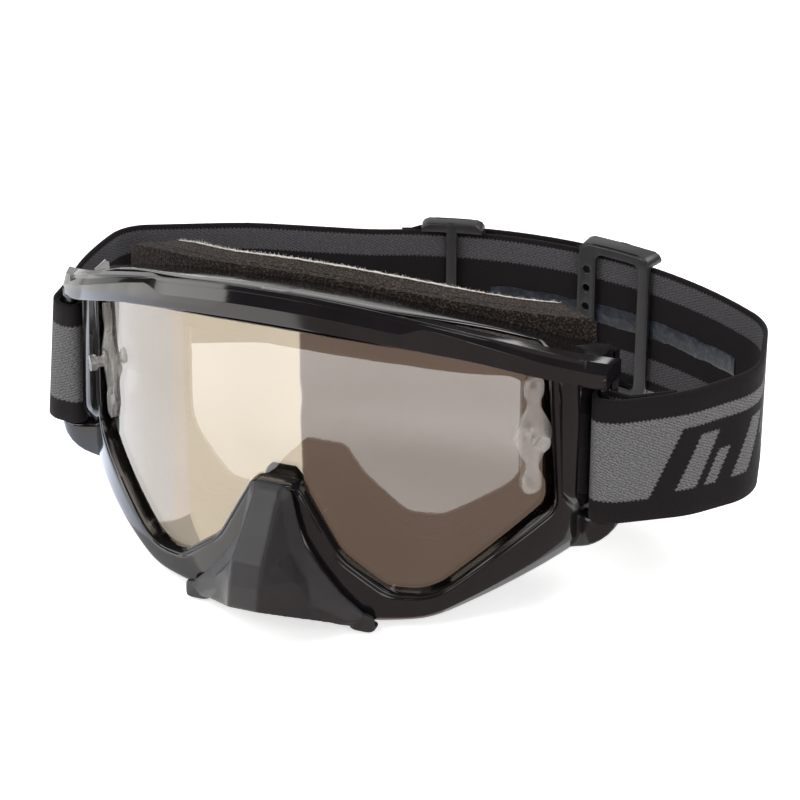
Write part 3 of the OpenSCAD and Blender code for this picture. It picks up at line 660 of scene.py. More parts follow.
@dataclass(frozen=True)
class Webbing(Finish):
    """Elastic jacquard webbing, woven of black and grey polyester over rubber yarns.

    UV U is the length along the strap and V the height over its middle, both in millimetres.
    """

    name: str = "woven_jacquard_webbing"
    face: WebbingFace = WebbingFace.OUTSIDE
    # black_lit and grey_lit are painted highlights on the ribs and threads, and grey_dark is painted shade
    # between the grey threads
    black: str = "#151213"
    black_lit: str = "#231f20"
    grey_dark: str = "#373638"
    grey: str = "#6c6b6c"
    grey_lit: str = "#979698"
    fleck_mm: float = 0.45
    twill_mm: float = 0.9
    tooth_mm: float = 1.3
    block_length: float = 31.0
    block_slope: float = 0.42
    motif_pitch: float = 19.0
    far: float = 900.0
    outer_grey: Pair = (-14.2, 14.4)
    outer_stripe: Pair = (9.6, 14.4)
    inner_greys: Tuple[Pair, ...] = ((13.2, 20.8), (-18.6, -10.4))

    def motifs(self, tree: Tree, u: Socket, v: Socket, edge_v: Socket,
               band: Callable[..., Socket]) -> Socket:
        """Where grey yarn shows on the strap's outside: a block, a stripe and slanted bars."""
        slant = calc(tree, "MULTIPLY_ADD", v, -self.block_slope, u)
        ragged_u = calc(tree, "ADD", slant, calc(tree, "MULTIPLY", calc(tree, "PINGPONG", v, 0.8), 0.9))
        block = calc(tree, "MULTIPLY", band(edge_v, *self.outer_grey), band(ragged_u, -90.0, self.block_length))
        stripe = calc(tree, "MULTIPLY", band(edge_v, *self.outer_stripe), band(u, 0.0, self.far))
        first = self.block_length + 7.0
        turn = calc(tree, "FLOORED_MODULO", calc(tree, "SUBTRACT", ragged_u, first), self.motif_pitch)
        count = calc(tree, "DIVIDE", calc(tree, "SUBTRACT", slant, first), self.motif_pitch)
        odd = calc(tree, "FLOORED_MODULO", calc(tree, "FLOOR", count), 2.0)
        even = calc(tree, "SUBTRACT", 1.0, odd)
        tall = calc(tree, "MULTIPLY", band(turn, 0.5, 7.0), band(edge_v, -12.5, 6.0))
        narrow = band(turn, 10.0, 14.0)
        low = calc(tree, "MULTIPLY", narrow, calc(tree, "MULTIPLY", band(edge_v, -12.5, -1.0), even))
        high = calc(tree, "MULTIPLY", narrow, calc(tree, "MULTIPLY", band(edge_v, -3.0, 6.0), odd))
        bars = calc(tree, "MAXIMUM", tall, calc(tree, "MAXIMUM", low, high))
        bars = calc(tree, "MULTIPLY", band(ragged_u, self.block_length + 5.0, self.far), bars)
        return calc(tree, "MAXIMUM", block, calc(tree, "MAXIMUM", stripe, bars))

    def shade(self, tree: Tree, at: Any) -> Node:
        """Adds the nodes: where grey yarn shows, its twill and the raised edge round it, with painted
        highlights on the ribs and high threads and painted shade between the grey threads.
        """
        uv = at["UV"]
        parts = add(tree, "SeparateXYZ", {0: uv})
        u, v = parts.outputs[0], parts.outputs[1]

        def band(value: Socket, low: float, high: float, soft: float = 0.25) -> Socket:
            """One between low and high, with a soft edge."""
            rise = spread(tree, value, 0.0, 1.0, (low - soft, low + soft))
            fall = spread(tree, value, 1.0, 0.0, (high - soft, high + soft))
            return calc(tree, "MULTIPLY", rise, fall)

        tooth = calc(tree, "MULTIPLY", calc(tree, "PINGPONG", u, self.tooth_mm / 2), 0.8)
        fray = add(tree, "TexNoise", {"Vector": uv, "Scale": 1.1, "Detail": 2.0}).outputs["Fac"]
        ragged = calc(tree, "ADD", tooth, calc(tree, "MULTIPLY", fray, 0.7))
        edge_v = calc(tree, "ADD", v, calc(tree, "SUBTRACT", ragged, 0.6))
        if self.face is WebbingFace.OUTSIDE:
            mask, relief = self.motifs(tree, u, v, edge_v, band), 0.5
        else:
            mask, relief = calc(tree, "MAXIMUM", *(band(edge_v, *grey) for grey in self.inner_greys)), 0.25
        yarn = add(tree, "TexNoise", {
            "Vector": turned(tree, uv, -28, (1.0, 2.0, 1.0)), "Scale": 0.8 / self.fleck_mm, "Detail": 3.0,
            "Roughness": 0.75}).outputs["Fac"]
        twill = add(tree, "TexWave", {
            "Vector": turned(tree, uv, -62), "Scale": 0.31 / self.twill_mm, "Distortion": 5.0, "Detail": 3.0,
            "Detail Scale": 2.5}).outputs["Fac"]
        weave = calc(tree, "MULTIPLY_ADD", twill, 0.12, calc(tree, "MULTIPLY", yarn, 0.98))
        # The grey is painted darker in the weave's low places and lighter on its high ones, as shade and
        # highlight
        grey = ramp(tree, weave, [(0.4, self.grey_dark), (0.57, self.grey), (0.78, self.grey_lit)])
        ribs = add(tree, "TexNoise", {
            "Vector": turned(tree, uv, scale=(1.0, 1.6, 1.0)), "Scale": 1.9, "Detail": 3.0,
            "Roughness": 0.7}).outputs["Fac"]
        # The black is painted lighter on the ribs as a highlight
        black = ramp(tree, ribs, [(0.35, self.black), (0.72, self.black_lit)])
        colour = add(tree, "Mix", {"Factor": mask, "A": black, "B": grey}, data_type="RGBA")
        threads = calc(tree, "MULTIPLY_ADD", weave, calc(tree, "MULTIPLY", mask, 0.4),
                       calc(tree, "MULTIPLY", ribs, 0.25))
        height = calc(tree, "ADD", calc(tree, "MULTIPLY", mask, relief), threads)
        return add(tree, "BsdfPrincipled", {
            "Base Color": colour.outputs["Result"], "Roughness": 0.88, "Sheen Weight": 0.05,
            "Specular IOR Level": 0.12, "Normal": bumped(tree, height, 0.8, 0.5)})


@dataclass(frozen=True)
class SatinNylon(Finish):
    """Injection-moulded nylon with a lightly blasted mould face: satin near-black."""

    name: str = "moulded_satin_nylon"
    base: str = "#1d1b1d"
    worn: str = "#272527"

    def shade(self, tree: Tree, at: Any) -> Node:
        """Adds the nodes: satin sheen with fine blasting marks."""
        blast = noise(tree, at["Object"], 0.5, 2.0)
        cloud = noise(tree, at["Object"], 8.0, 4.0)
        return add(tree, "BsdfPrincipled", {
            "Base Color": ramp(tree, cloud, [(0.35, self.base), (0.75, self.worn)]), "Roughness": 0.42,
            "IOR": 1.53, "Normal": bumped(tree, blast, 0.3, 0.05)})


@dataclass(frozen=True)
class SiliconeBead(Finish):
    """Screen-laid silicone on the webbing's inside: glassy, bluish, with air marks."""

    name: str = "laid_silicone_bead"
    base: str = "#1f222a"
    middle: str = "#31353f"
    # The lit colour is a painted highlight on the lumps' tops
    lit: str = "#4b505c"

    def shade(self, tree: Tree, at: Any) -> Node:
        """Adds the nodes: uneven wet-looking rubber, painted lighter on its lumps as a highlight."""
        lump = noise(tree, at["Object"], 2.6, 4.0, Roughness=0.65)
        return add(tree, "BsdfPrincipled", {
            "Base Color": ramp(tree, lump, [(0.42, self.base), (0.58, self.middle), (0.78, self.lit)]),
            "Roughness": 0.28, "IOR": 1.41, "Normal": bumped(tree, lump, 0.7, 0.5)})


@dataclass(frozen=True)
class SewingThread(Finish):
    """Twisted bonded polyester thread."""

    name: str = "twisted_polyester_thread"
    base: str = "#171617"
    # The lit colour is a painted highlight along the twist's ridges
    lit: str = "#3a383a"
    twist_mm: float = 3.0

    def shade(self, tree: Tree, at: Any) -> Node:
        """Adds the nodes: dark thread with its twist as a fine wave, painted lighter on each ridge as a
        highlight.
        """
        twist = add(tree, "TexWave", {
            "Vector": at["Object"], "Scale": per_mm(self.twist_mm), "Distortion": 2.0}).outputs["Fac"]
        return add(tree, "BsdfPrincipled", {
            "Base Color": ramp(tree, twist, [(0.2, self.base), (0.9, self.lit)]), "Roughness": 0.7,
            "Normal": bumped(tree, twist, 0.4, 0.1)})


def place(obj: Piece, body: Body, finish: Optional[Finish], replaces: Sequence[str] = ()) -> Piece:
    """Dresses a piece, lets it ride on its body and hides the CAD nodes that it stands for.

    Args:
        obj: The piece.
        body: CAD body that it moves with.
        finish: Its finish, or None to keep the materials that it has.
        replaces: CAD nodes that it stands for.

    Returns:
        The same piece.
    """
    if finish is not None:
        obj.data.materials.clear()
        obj.data.materials.append(finish.material())
    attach(obj, body.value)
    if replaces:
        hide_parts(*replaces)
    log.info("%s: %d faces on %s", obj.name, len(obj.data.polygons), body.value)
    return obj


# ---------------------------------------------------------------- shared sizes


@dataclass
class Layout:
    """Sizes that several sub-assemblies share, as in the part's source."""

    lens_axis_y: float = 53.5
    lens_radius: float = 92.0
    lens_thickness: float = 1.0
    frame_half_w: float = 84.0
    frame_low: float = 57.5
    opening_half_w: float = 75.3
    opening_low: float = 48.8
    nose_notch: float = 12.6
    opening_top: float = 39.0
    face_radius: float = 78.0
    brow_low_z: float = 39.8
    brow_high_z: float = 50.0
    brow_low_fall: float = 345.0
    brow_high_fall: float = 270.0
    strap_top_z: float = 14.2
    strap_w: float = 44.0
    bar_x: float = 87.5
    bar_y: float = 3.2
    bar_radius: float = 1.5

    @property
    def strap_low_z(self) -> float:
        """Height of the webbing's lower edge."""
        return self.strap_top_z - self.strap_w

    def on_lens(self, x: Any, radius: Any) -> Any:
        """Y of a point at x on a cylinder about the lens's axis."""
        return on_cylinder(x, self.lens_axis_y, radius)

    def wrapped(self, spots: np.ndarray, radius: Any) -> np.ndarray:
        """Spots (x, z) as points on a cylinder about the lens's axis."""
        return xyz(spots[:, 0], self.on_lens(spots[:, 0], radius), spots[:, 1])

    def brow_low(self, x: Any) -> Any:
        """Height of the brow bar's lower edge."""
        return self.brow_low_z - np.asarray(x, float) ** 2 / self.brow_low_fall

    def brow_high(self, x: Any) -> Any:
        """Height of the brow bar's upper edge."""
        return self.brow_high_z - np.asarray(x, float) ** 2 / self.brow_high_fall

    def opening(self, out: float = 0.0) -> np.ndarray:
        """Right half of the lens opening, grown by a distance."""
        top = [(x, self.opening_top - x * x / self.brow_low_fall, 0.0) for x in range(0, 61, 12)]
        edge = self.opening_half_w - 2.5
        corners: List[Triple] = top + [
            (edge, self.opening_top - edge * edge / self.brow_low_fall, 5), (self.opening_half_w, -25, 7),
            (46.5, -self.opening_low, 14), (34, -self.opening_low + 1.6, 10), (20, -35.5, 18),
            (7.5, -self.nose_notch, 4), (0, -self.nose_notch, 0)]
        return rounded(grown(corners, out) if out else corners)

    def rim(self, out: float = 0.0) -> np.ndarray:
        """Right half of the frame's outline below the brow bar, grown by a distance."""
        top = [(x, float(self.brow_low(x)), 0.0) for x in range(0, 81, 8)]
        corners: List[Triple] = top + [
            (self.frame_half_w, float(self.brow_low(self.frame_half_w)), 0.5),
            (self.frame_half_w, -self.frame_low + 17.5, 3.5), (66, -self.frame_low + 10, 60),
            (45, -self.frame_low + 1, 26), (27, -self.frame_low + 0.6, 6), (11.5, -45, 10), (6, -27, 5),
            (0, -27, 0)]
        return rounded(grown(corners, out) if out else corners)

    def facing(self) -> List[Tuple[Pair, Pair]]:
        """Spots of the opening and the rim's outline that face each other."""
        return [((74.3, 21.5), (84, 19.3)), ((75.3, 8), (84, 4)), ((75.3, -12), (84, -19)),
                ((74.3, -27), (83, -40.6)), ((48, -46.6), (45, -56.2)), ((34.5, -46.8), (27.5, -56.9)),
                ((21, -36.5), (12, -44.5)), ((8, -11.5), (6.2, -27.5))]


# ---------------------------------------------------------------- sub-assemblies


@dataclass
class FrameMoulding:
    """The front of the frame: lens rim, side struts and lower lobes, in one moulding."""

    layout: Layout
    sample_step: float = 0.9
    strut_proud: float = 4.6
    strut_radius: float = 96.0
    strut_square: Pair = (0.74, 0.999)
    lower_drop: float = 0.9
    # Share of the way from the opening to the outline, radius about the lens's axis
    front_rows: Tuple[Pair, ...] = (
        (0.0, 89.5), (0.0, 92.9), (0.006, 93.9), (0.02, 94.5), (0.045, 94.75), (0.07, 94.75), (0.085, 94.5),
        (0.1, 94.5), (0.12, 94.8), (0.15, 94.95), (0.24, 95.05), (0.36, 95.15), (0.52, 95.25), (0.66, 95.3),
        (0.74, 95.25), (0.77, 95.1), (0.8, 94.75), (0.9, 93.8), (0.97, 93.0), (0.992, 92.5), (1.0, 91.8),
        (1.0, 90.0), (1.0, 88.2))
    # How much of the strut's extra height each share takes
    strut_rows: Tuple[Pair, ...] = (
        (0.0, 0.0), (0.16, 0.0), (0.24, 0.12), (0.36, 0.62), (0.5, 0.8), (0.7, 0.86), (0.9, 0.92), (1.0, 0.8))

    def front_grid(self) -> np.ndarray:
        """Points of the moulding's face: one row for each share, one column for each spot round the rim."""
        inner, outer = matched(self.layout.opening(), self.layout.rim(), self.layout.facing(), self.sample_step)
        low = smoothstep(-20, -44, outer[:, 1]) * smoothstep(8, 30, outer[:, 0])
        outer[:, 1] -= self.lower_drop * low
        inner, outer = mirrored(inner), mirrored(outer)
        strut = smoothstep(70, 76, np.abs(inner[:, 0])) * smoothstep(-36, -22, outer[:, 1])
        shares, gains = zip(*self.strut_rows)
        rows = []
        for share, radius in self.front_rows:
            spot = inner + (outer - inner) * share
            # The strut keeps its wall square: the outer rows stay forward until the side wall
            proud = self.strut_proud * np.interp(share, shares, gains) * strut
            if self.strut_square[0] < share < self.strut_square[1]:
                proud = proud + strut * max(0.0, self.strut_radius - radius) * 0.85
            rows.append(self.layout.wrapped(spot, radius + proud))
        return np.array(rows)

    def build(self) -> Piece:
        """Makes the moulding, whose back is closed by the body behind it."""
        grid = self.front_grid()
        moulding = grid_mesh("frame_moulding", grid, close_cols=True, sharp=50)
        return place(moulding, Body.FRAME, GlossTpu(), ["front_rim"])


@dataclass
class BrowBar:
    """The bar across the forehead: an upper facet behind a crease that runs out to the top at the tips."""

    layout: Layout
    axis_y: float = 71.0
    radius: float = 113.0
    thickness: float = 5.5
    half_length: float = 88.4
    tip_flare: float = 2.0
    tip_sag: float = 2.2
    crease_share: float = 0.52
    # The crease climbs to the top edge between these distances from the midline
    notch: Pair = (36.5, 44.5)
    facet_depth: float = 1.9
    lip: float = 0.9
    # The slanted band above the front facet, where the tip starts and at its end
    tip_band: Pair = (0.9, 2.3)
    columns: int = 281

    def section(self, x: float) -> np.ndarray:
        """Closed cross-section at x, as (radius about the bar's axis, height)."""
        low, high = float(self.layout.brow_low(x)), float(self.layout.brow_high(x))
        low -= self.tip_sag * float(smoothstep(52, 84, abs(x)))
        tall = high - low
        tip = float(smoothstep(*self.notch, abs(x)))
        band = self.tip_band[0] + (self.tip_band[1] - self.tip_band[0]) * float(smoothstep(45, 82, abs(x)))
        crease = low + tall * self.crease_share * (1 - tip) + (tall - band * 0.85) * tip
        front, rear = self.radius, self.radius - self.thickness
        facet = front - self.facet_depth - (band - self.facet_depth) * tip
        top = high + 0.15 * tip
        lip_back = facet - self.lip - (facet - self.lip - rear - 0.3) * tip
        drop = 2.4 - 2.15 * tip
        points = [
            (rear, low + 0.4), (rear + 0.8, low), (front - 1.3, low), (front - 0.6, low + 0.1),
            (front - 0.15, low + 0.45), (front, low + 1.0), (front, crease - 0.2),
            (front - 0.09, crease + 0.05), (facet + 0.16, top - 0.4), (facet, top - 0.12), (facet - 0.2, top),
            (lip_back + 0.2, top), (lip_back, top - 0.2), (lip_back, top - drop), (rear, top - drop - 0.2)]
        return np.array(points)

    def build(self) -> Piece:
        """Makes the bar by sweeping its section from tip to tip."""
        half = self.half_length
        xs = half * np.sin(np.linspace(-math.pi / 2, math.pi / 2, self.columns))
        rows = []
        for x in xs:
            section = self.section(float(x))
            depth = (self.radius - section[:, 0]) / self.thickness
            end = float(smoothstep(half - 5, half, abs(x)))
            along = x + math.copysign(1.0, x) * self.tip_flare * depth * end
            y = self.axis_y - np.sqrt(section[:, 0] ** 2 - x * x)
            rows.append(xyz(along, y, section[:, 1]))
        bar = tube("brow_bar_moulding", rows, 28)
        modify(bar, "WEIGHTED_NORMAL", keep_sharp=True, weight=80)
        return place(bar, Body.FRAME, GlossTpu(), ["brow_bar"])


@dataclass
class StrapArms:
    """The arms beside the frame that hold each strap bar: a wedge below and a tab above."""

    layout: Layout
    arm_clear: float = 0.4
    upper_height: float = 3.8
    # Stations of the lower wedge: x, front y, back y, lowest z
    wedge: Tuple[Tuple[float, float, float, float], ...] = (
        (78.5, 2.6, 8.0, -42.6), (80.5, 2.6, 8.4, -42.0), (82.5, 1.9, 8.6, -41.1), (84.5, 1.1, 8.8, -40.0),
        (86.5, 0.7, 9.0, -38.7), (88.5, 0.8, 9.0, -37.2), (90.5, 1.5, 9.0, -35.4), (92.0, 2.6, 8.4, -33.6),
        (92.9, 3.8, 7.4, -32.2))
    # Stations of the upper tab: x, front y, back y
    tab: Tuple[Triple, ...] = ((82.0, -0.8, 8.2), (87.0, -0.6, 8.0), (88.6, 0.4, 7.4))

    @staticmethod
    def _ring(x: float, y: Pair, z: Pair, r: float) -> np.ndarray:
        """A rounded rectangle across X."""
        return xyz(x, *round_box(y, z, r, 4))

    def build(self, side: Side) -> Piece:
        """Makes one side's arms and bar."""
        layout = self.layout
        low, high = layout.strap_low_z - self.arm_clear, layout.strap_top_z + self.arm_clear
        lower = [self._ring(x, (y0, y1), (z0, low), min(1.1, (low - z0) / 2.2)) for x, y0, y1, z0 in self.wedge]
        upper = [self._ring(x, (y0, y1), (high, high + self.upper_height), 0.9) for x, y0, y1 in self.tab]
        bar_x = layout.bar_x + layout.bar_radius * np.cos(around(24))
        bar_y = layout.bar_y + layout.bar_radius * np.sin(around(24))
        bar = [xyz(bar_x, bar_y, z) for z in (low - 1, high + 1)]
        parts = []
        for name, rings in (("lower", lower), ("upper", upper), ("bar", bar)):
            grid = np.array(rings)
            grid[:, :, 0] *= side.value
            parts.append(tube(name, grid, 45))
        arms = joined(f"strap_arms_{side.name.lower()}", parts)
        return place(arms, Body.FRAME, GlossTpu(), [f"strap_mount_{side.name.lower()}"])


@dataclass
class LensSheet:
    """The cylindrical half-mirrored lens."""

    layout: Layout
    reach: float = 2.6
    rings: int = 16
    centre_z: float = 18.0
    samples: int = 420

    def build(self) -> Piece:
        """Makes the sheet as rings of points that shrink towards its middle, front and back."""
        half = self.layout.opening(self.reach)
        loop = mirrored(evenly(half, self.samples // 2))
        centre = np.array([0.0, self.centre_z])
        front_radius = self.layout.lens_radius
        back_radius = front_radius - self.layout.lens_thickness
        shares = [k / self.rings for k in range(1, self.rings + 1)]
        spots = [centre + (loop - centre) * share for share in shares]
        rows = [self.layout.wrapped(spot, front_radius) for spot in spots]
        rows += [self.layout.wrapped(spot, back_radius) for spot in reversed(spots)]
        lens = tube("lens_sheet", rows, 50)
        return place(lens, Body.FRAME, MirroredPolycarbonate(), ["lens"])


@dataclass
class TearOffPosts:
    """The clear posts on the lens and the clips behind it, which keep their CAD shape."""

    edge: float = 0.3

    def build(self) -> None:
        """Softens the moulded edges and dresses the four CAD nodes."""
        for side in Side:
            for piece in ("post", "post_clip"):
                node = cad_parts[f"{piece}_{side.name.lower()}"]
                bevel(node, self.edge, 3, 40)
                node.data.materials.clear()
                node.data.materials.append(ClearPolycarbonate().material())
                for face in node.data.polygons:
                    face.use_smooth = True
                log.info("%s dressed", node.name)


@dataclass
class NoseGuard:
    """The matte clip-on nose guard, with its ridge, flange and two hooks."""

    layout: Layout
    wall: float = 2.0
    seat: float = 97.7
    skin: float = 0.4
    # Edge from the top of the tongue down the right wing, as (x, z)
    edge: Tuple[Pair, ...] = (
        (4.4, -10.2), (6.9, -12.6), (8.4, -20.5), (10.6, -29.5), (15.4, -37.4), (21.6, -45.6), (29.6, -54.2),
        (25.5, -57.6))
    # Inside of that edge, top line of the ridge, and the cheek between them, as (x, y, z)
    inner: Tuple[Triple, ...] = (
        (3.6, -46.8, -12.2), (5.0, -47.2, -14.5), (6.0, -48.0, -21.0), (7.9, -48.6, -30.3),
        (12.4, -48.4, -38.8), (18.4, -46.6, -46.2), (25.0, -44.2, -54.2), (20.5, -45.8, -54.6))
    ridge: Tuple[Triple, ...] = (
        (3.4, -47.4, -13.0), (4.2, -51.5, -17.0), (4.7, -56.5, -22.0), (5.2, -63.0, -28.1), (5.1, -65.2, -34.8),
        (5.0, -66.7, -42.0))
    cheek: Tuple[Triple, ...] = ((6.6, -55.0, -30.5), (11.5, -53.8, -37.5), (14.5, -51.0, -46.0))
    # Stations of a hook: x and share of its full section
    hook_rows: Tuple[Pair, ...] = (
        (22.6, 0.5), (23.4, 0.85), (25.0, 1.0), (29.0, 1.0), (30.2, 0.9), (30.9, 0.6))

    def seat_y(self, x: float) -> float:
        """Y at x of the surface that the guard sits on."""
        return float(self.layout.on_lens(x, self.seat))

    def shell(self) -> Piece:
        """The guard's skin: a coarse cage, mirrored, thickened and bevelled."""
        right = [(x, self.seat_y(x), z) for x, z in self.edge]
        i = len(right)
        right += self.inner
        r = len(right)
        right += self.ridge
        c = len(right)
        right += self.cheek
        n = len(right)
        faces = [[k, k + 1, i + k + 1, i + k] for k in range(i - 1)]
        faces += [
            [i, i + 1, r + 1, r], [i + 1, i + 2, r + 2, r + 1], [i + 2, i + 3, c, r + 2], [r + 2, c, r + 3],
            [i + 3, i + 4, c + 1, c], [c, c + 1, r + 4, r + 3], [i + 4, i + 5, c + 2, c + 1],
            [i + 5, i + 6, c + 2], [c + 2, i + 6, i + 7], [c + 1, c + 2, r + 5, r + 4], [c + 2, i + 7, r + 5]]
        faces += [[k + n for k in reversed(face)] for face in faces]
        faces += [[r + k, r + k + 1, r + k + 1 + n, r + k + n] for k in range(len(self.ridge) - 1)]
        faces += [[i, r, r + n, i + n], [0, i, i + n, n]]
        points = right + [(-x, y, z) for x, y, z in right]
        shell = new_mesh("guard_shell", np.array(points), faces, sharp=180)
        modify(shell, "SOLIDIFY", thickness=self.wall * MM, offset=-1)
        bevel(shell, 0.75, 3, 16)
        return applied(shell)

    def hook(self, side: Side) -> Piece:
        """One hook, which reaches back under the frame's lower edge."""
        y = self.seat_y(24.5) + 2.2
        foot = -self.layout.frame_low + 0.3
        profile = rounded([(y - 2.3, -52.6, 0), (y - 2.3, foot - 1.7, 1.5), (y + 4.2, foot - 1.7, 1.2),
                           (y + 4.2, foot - 0.2, 0.3), (y - 0.1, foot - 0.2, 0.4), (y - 0.1, -52.6, 0)])
        middle = profile.mean(axis=0)
        rows = [xyz(x * side.value, *(middle + (profile - middle) * share).T) for x, share in self.hook_rows]
        return tube("hook", rows, 60)

    def build(self) -> Piece:
        """Makes the guard, whose skin and hooks are melted into one smooth moulding."""
        guard = joined("nose_guard_moulding", [self.shell(), *(self.hook(side) for side in Side)])
        modify(guard, "REMESH", mode="VOXEL", voxel_size=self.skin * MM, use_smooth_shade=True)
        modify(guard, "SMOOTH", factor=0.5, iterations=8)
        return place(applied(guard), Body.GUARD, MatteTpu(), ["nose_guard"])


@dataclass
class FaceFoam:
    """The face seal: open-cell base, softer cushion and fleece, one closed ring each."""

    layout: Layout
    half_w: float = 79.9
    hole_half_w: float = 67.0
    top_z: float = 43.0
    top_fall: float = 350.0
    hole_top_z: float = 17.7
    hole_top_fall: float = 600.0
    ring_w: float = 16.0
    base_radius: float = 95.0
    flange_shift: float = 11.0
    flange_radius: float = 101.5
    samples: float = 1.3
    left_pull: float = 4.0
    left_lift: float = 2.2
    fibre_count: int = 5200
    fibre_length: Pair = (0.3, 1.15)

    def outer(self, draw: float) -> np.ndarray:
        """Right half of the ring's outline, drawn in by a distance."""
        low = -self.layout.frame_low + 3
        end = self.half_w - 1.5
        corners: List[Triple] = [(x, self.top_z - x * x / self.top_fall, 0.0) for x in range(0, 71, 10)]
        corners += [(end, self.top_z - end * end / self.top_fall, 3), (self.half_w, -37, 8),
                    (self.half_w * 0.79, low + 8, 30), (45, low, 12), (29, low, 6), (14, -43, 9), (8, -28, 5),
                    (0, -28, 0)]
        return rounded(grown(corners, -draw))

    def hole(self, widen: float) -> np.ndarray:
        """Right half of the ring's hole, widened by a distance."""
        low = -self.layout.frame_low + self.ring_w
        top = [(x, self.hole_top_z - x * x / self.hole_top_fall, r)
               for x, r in ((0, 0), (16, 0), (32, 0), (self.hole_half_w - 1, 7))]
        return rounded(grown([*top, (self.hole_half_w, -32, 8), (43, low, 9), (31, low + 1.5, 8), (15, -27, 8),
                              (8, -18, 5), (0, -18, 0)], widen))

    def settled(self, ring: np.ndarray) -> np.ndarray:
        """The outline as it sits in the photograph: its left end is pushed in and up a little."""
        x, z = ring[:, 0], ring[:, 1]
        return np.stack([x + self.left_pull * smoothstep(52, 80, -x),
                         z + self.left_lift * smoothstep(30, 80, -x) * smoothstep(0, 22, z)], axis=1)

    def flange_at(self, angle: np.ndarray) -> np.ndarray:
        """Distance from the head's axis to the flatter flange in front of the foam."""
        reach = self.flange_shift
        return np.sqrt(self.flange_radius ** 2 - (reach * np.sin(angle)) ** 2) - reach * np.cos(angle)

    def layer(self, name: str, front: float, back: float, draw: float, crown: float, corner: float,
              slump: float, hole: Pair) -> Piece:
        """One closed ring of the seal.

        Args:
            name: Name of the piece.
            front: Radius of its front about the head's axis.
            back: Radius of its back.
            draw: How far its outline is drawn in.
            crown: How far its back face swells towards the skin.
            corner: Radius of the rounded edges at its back.
            slump: How far its sides pull in half way between its faces.
            hole: Share of the hole's half width at its front and at its back.

        Returns:
            The mesh.
        """
        pairs = [((70, 24), (60, 10)), ((self.half_w, 0), (self.hole_half_w, -4)),
                 ((self.half_w - 1, -34), (65, -32)), ((45, -53), (42, -42)), ((29, -54), (32, -40)),
                 ((14, -43), (15, -27)), ((8, -29), (8, -19))]
        out, inner = matched(self.outer(draw), self.hole(draw / 2), pairs, self.samples)
        out, inner = mirrored(out), mirrored(inner)
        out = self.settled(out)
        depth = front - back
        wide = np.linalg.norm(out - inner, axis=1)[:, None]
        inward = (inner - out) / wide
        # The side's section, as distances inwards and back from the front
        c = min(corner, depth * 0.48)
        profile = [(0.15, 0.0), (0.0, 0.25)]
        if depth > 3:
            profile += [(slump, d) for d in np.linspace(0.9, depth - c - 0.3, 4)]
        profile += [(slump * 0.4 + c - c * math.cos(a), depth - c + c * math.sin(a))
                    for a in np.linspace(0, math.pi / 2, 5)]
        rows = [(out + inward * inset, deep) for inset, deep in profile]
        for share, rise in ((0.3, 0.85), (0.5, 1.0), (0.7, 0.85)):
            rows.append((out + inward * wide * share, depth + crown * rise))
        for inset, deep in reversed(profile):
            across = hole[0] + (hole[1] - hole[0]) * deep / depth
            rows.append((inner * [across, 1] - inward * inset, deep))
        rows += [(out + inward * wide * share, 0.0) for share in (0.66, 0.33)]
        grid = []
        for spots, deep in rows:
            angle = np.arcsin(np.clip(spots[:, 0] / self.base_radius, -0.999, 0.999))
            face = np.minimum(front, self.flange_at(angle))
            radius = face - deep * (face - back) / depth
            y = self.layout.face_radius - radius * np.cos(angle)
            grid.append(xyz(radius * np.sin(angle), y, spots[:, 1]))
        return grid_mesh(name, np.array(grid), close_rows=True, close_cols=True, sharp=70)

    @staticmethod
    def roughen(piece: Piece, size: float, height: float) -> None:
        """Divides a foam skin and breaks it up with pores."""
        modify(piece, "SUBSURF", levels=1, render_levels=1)
        pores(piece, size, height)

    def fibres(self) -> Piece:
        """Loose fibre ends that stand off the fleece's upper and lower edge."""
        rng = np.random.default_rng(11)
        edge = self.settled(mirrored(evenly(self.outer(1.2), 900)))
        points: List[np.ndarray] = []
        faces: List[List[int]] = []
        radius = self.layout.face_radius + 0.9
        for k in rng.integers(0, len(edge), self.fibre_count):
            x, z = edge[k]
            ahead = unit(edge[(k + 1) % len(edge)] - edge[k - 1])
            out = left_of(ahead)
            angle = math.asin(np.clip(x / self.base_radius, -0.99, 0.99))
            root = np.array([radius * math.sin(angle), self.layout.face_radius - radius * math.cos(angle), z])
            root[2] += rng.uniform(-0.9, 0.1) * out[1]
            across = np.array([math.cos(angle), math.sin(angle), 0.0])
            back = np.array([-math.sin(angle), math.cos(angle), 0.0])
            grow = across * (out[0] + rng.normal(0, 0.9)) + np.array([0, 0, out[1] + rng.normal(0, 0.5)])
            grow = unit(grow + back * rng.normal(0.1, 0.8))
            curl = rng.normal(0, 0.35, 3)
            long = rng.uniform(*self.fibre_length)
            thick = rng.uniform(0.04, 0.075)
            side = unit(np.cross(grow, back + 0.01)) * thick
            other = unit(np.cross(grow, side)) * thick
            base = len(points)
            for share in (0.0, 0.5, 1.0):
                spot = root + grow * long * share + curl * share * share * long * 0.5
                fade = 1 - 0.6 * share
                points += [spot + side * fade, spot + other * fade, spot - (side + other) * 0.6 * fade]
            for level in (0, 3):
                for j in range(3):
                    a, b = base + level + j, base + level + (j + 1) % 3
                    faces.append([a, b, b + 3, a + 3])
            faces += [[base, base + 1, base + 2], [base + 6, base + 7, base + 8]]
        return new_mesh("fibre_ends", np.array(points), faces, sharp=180)

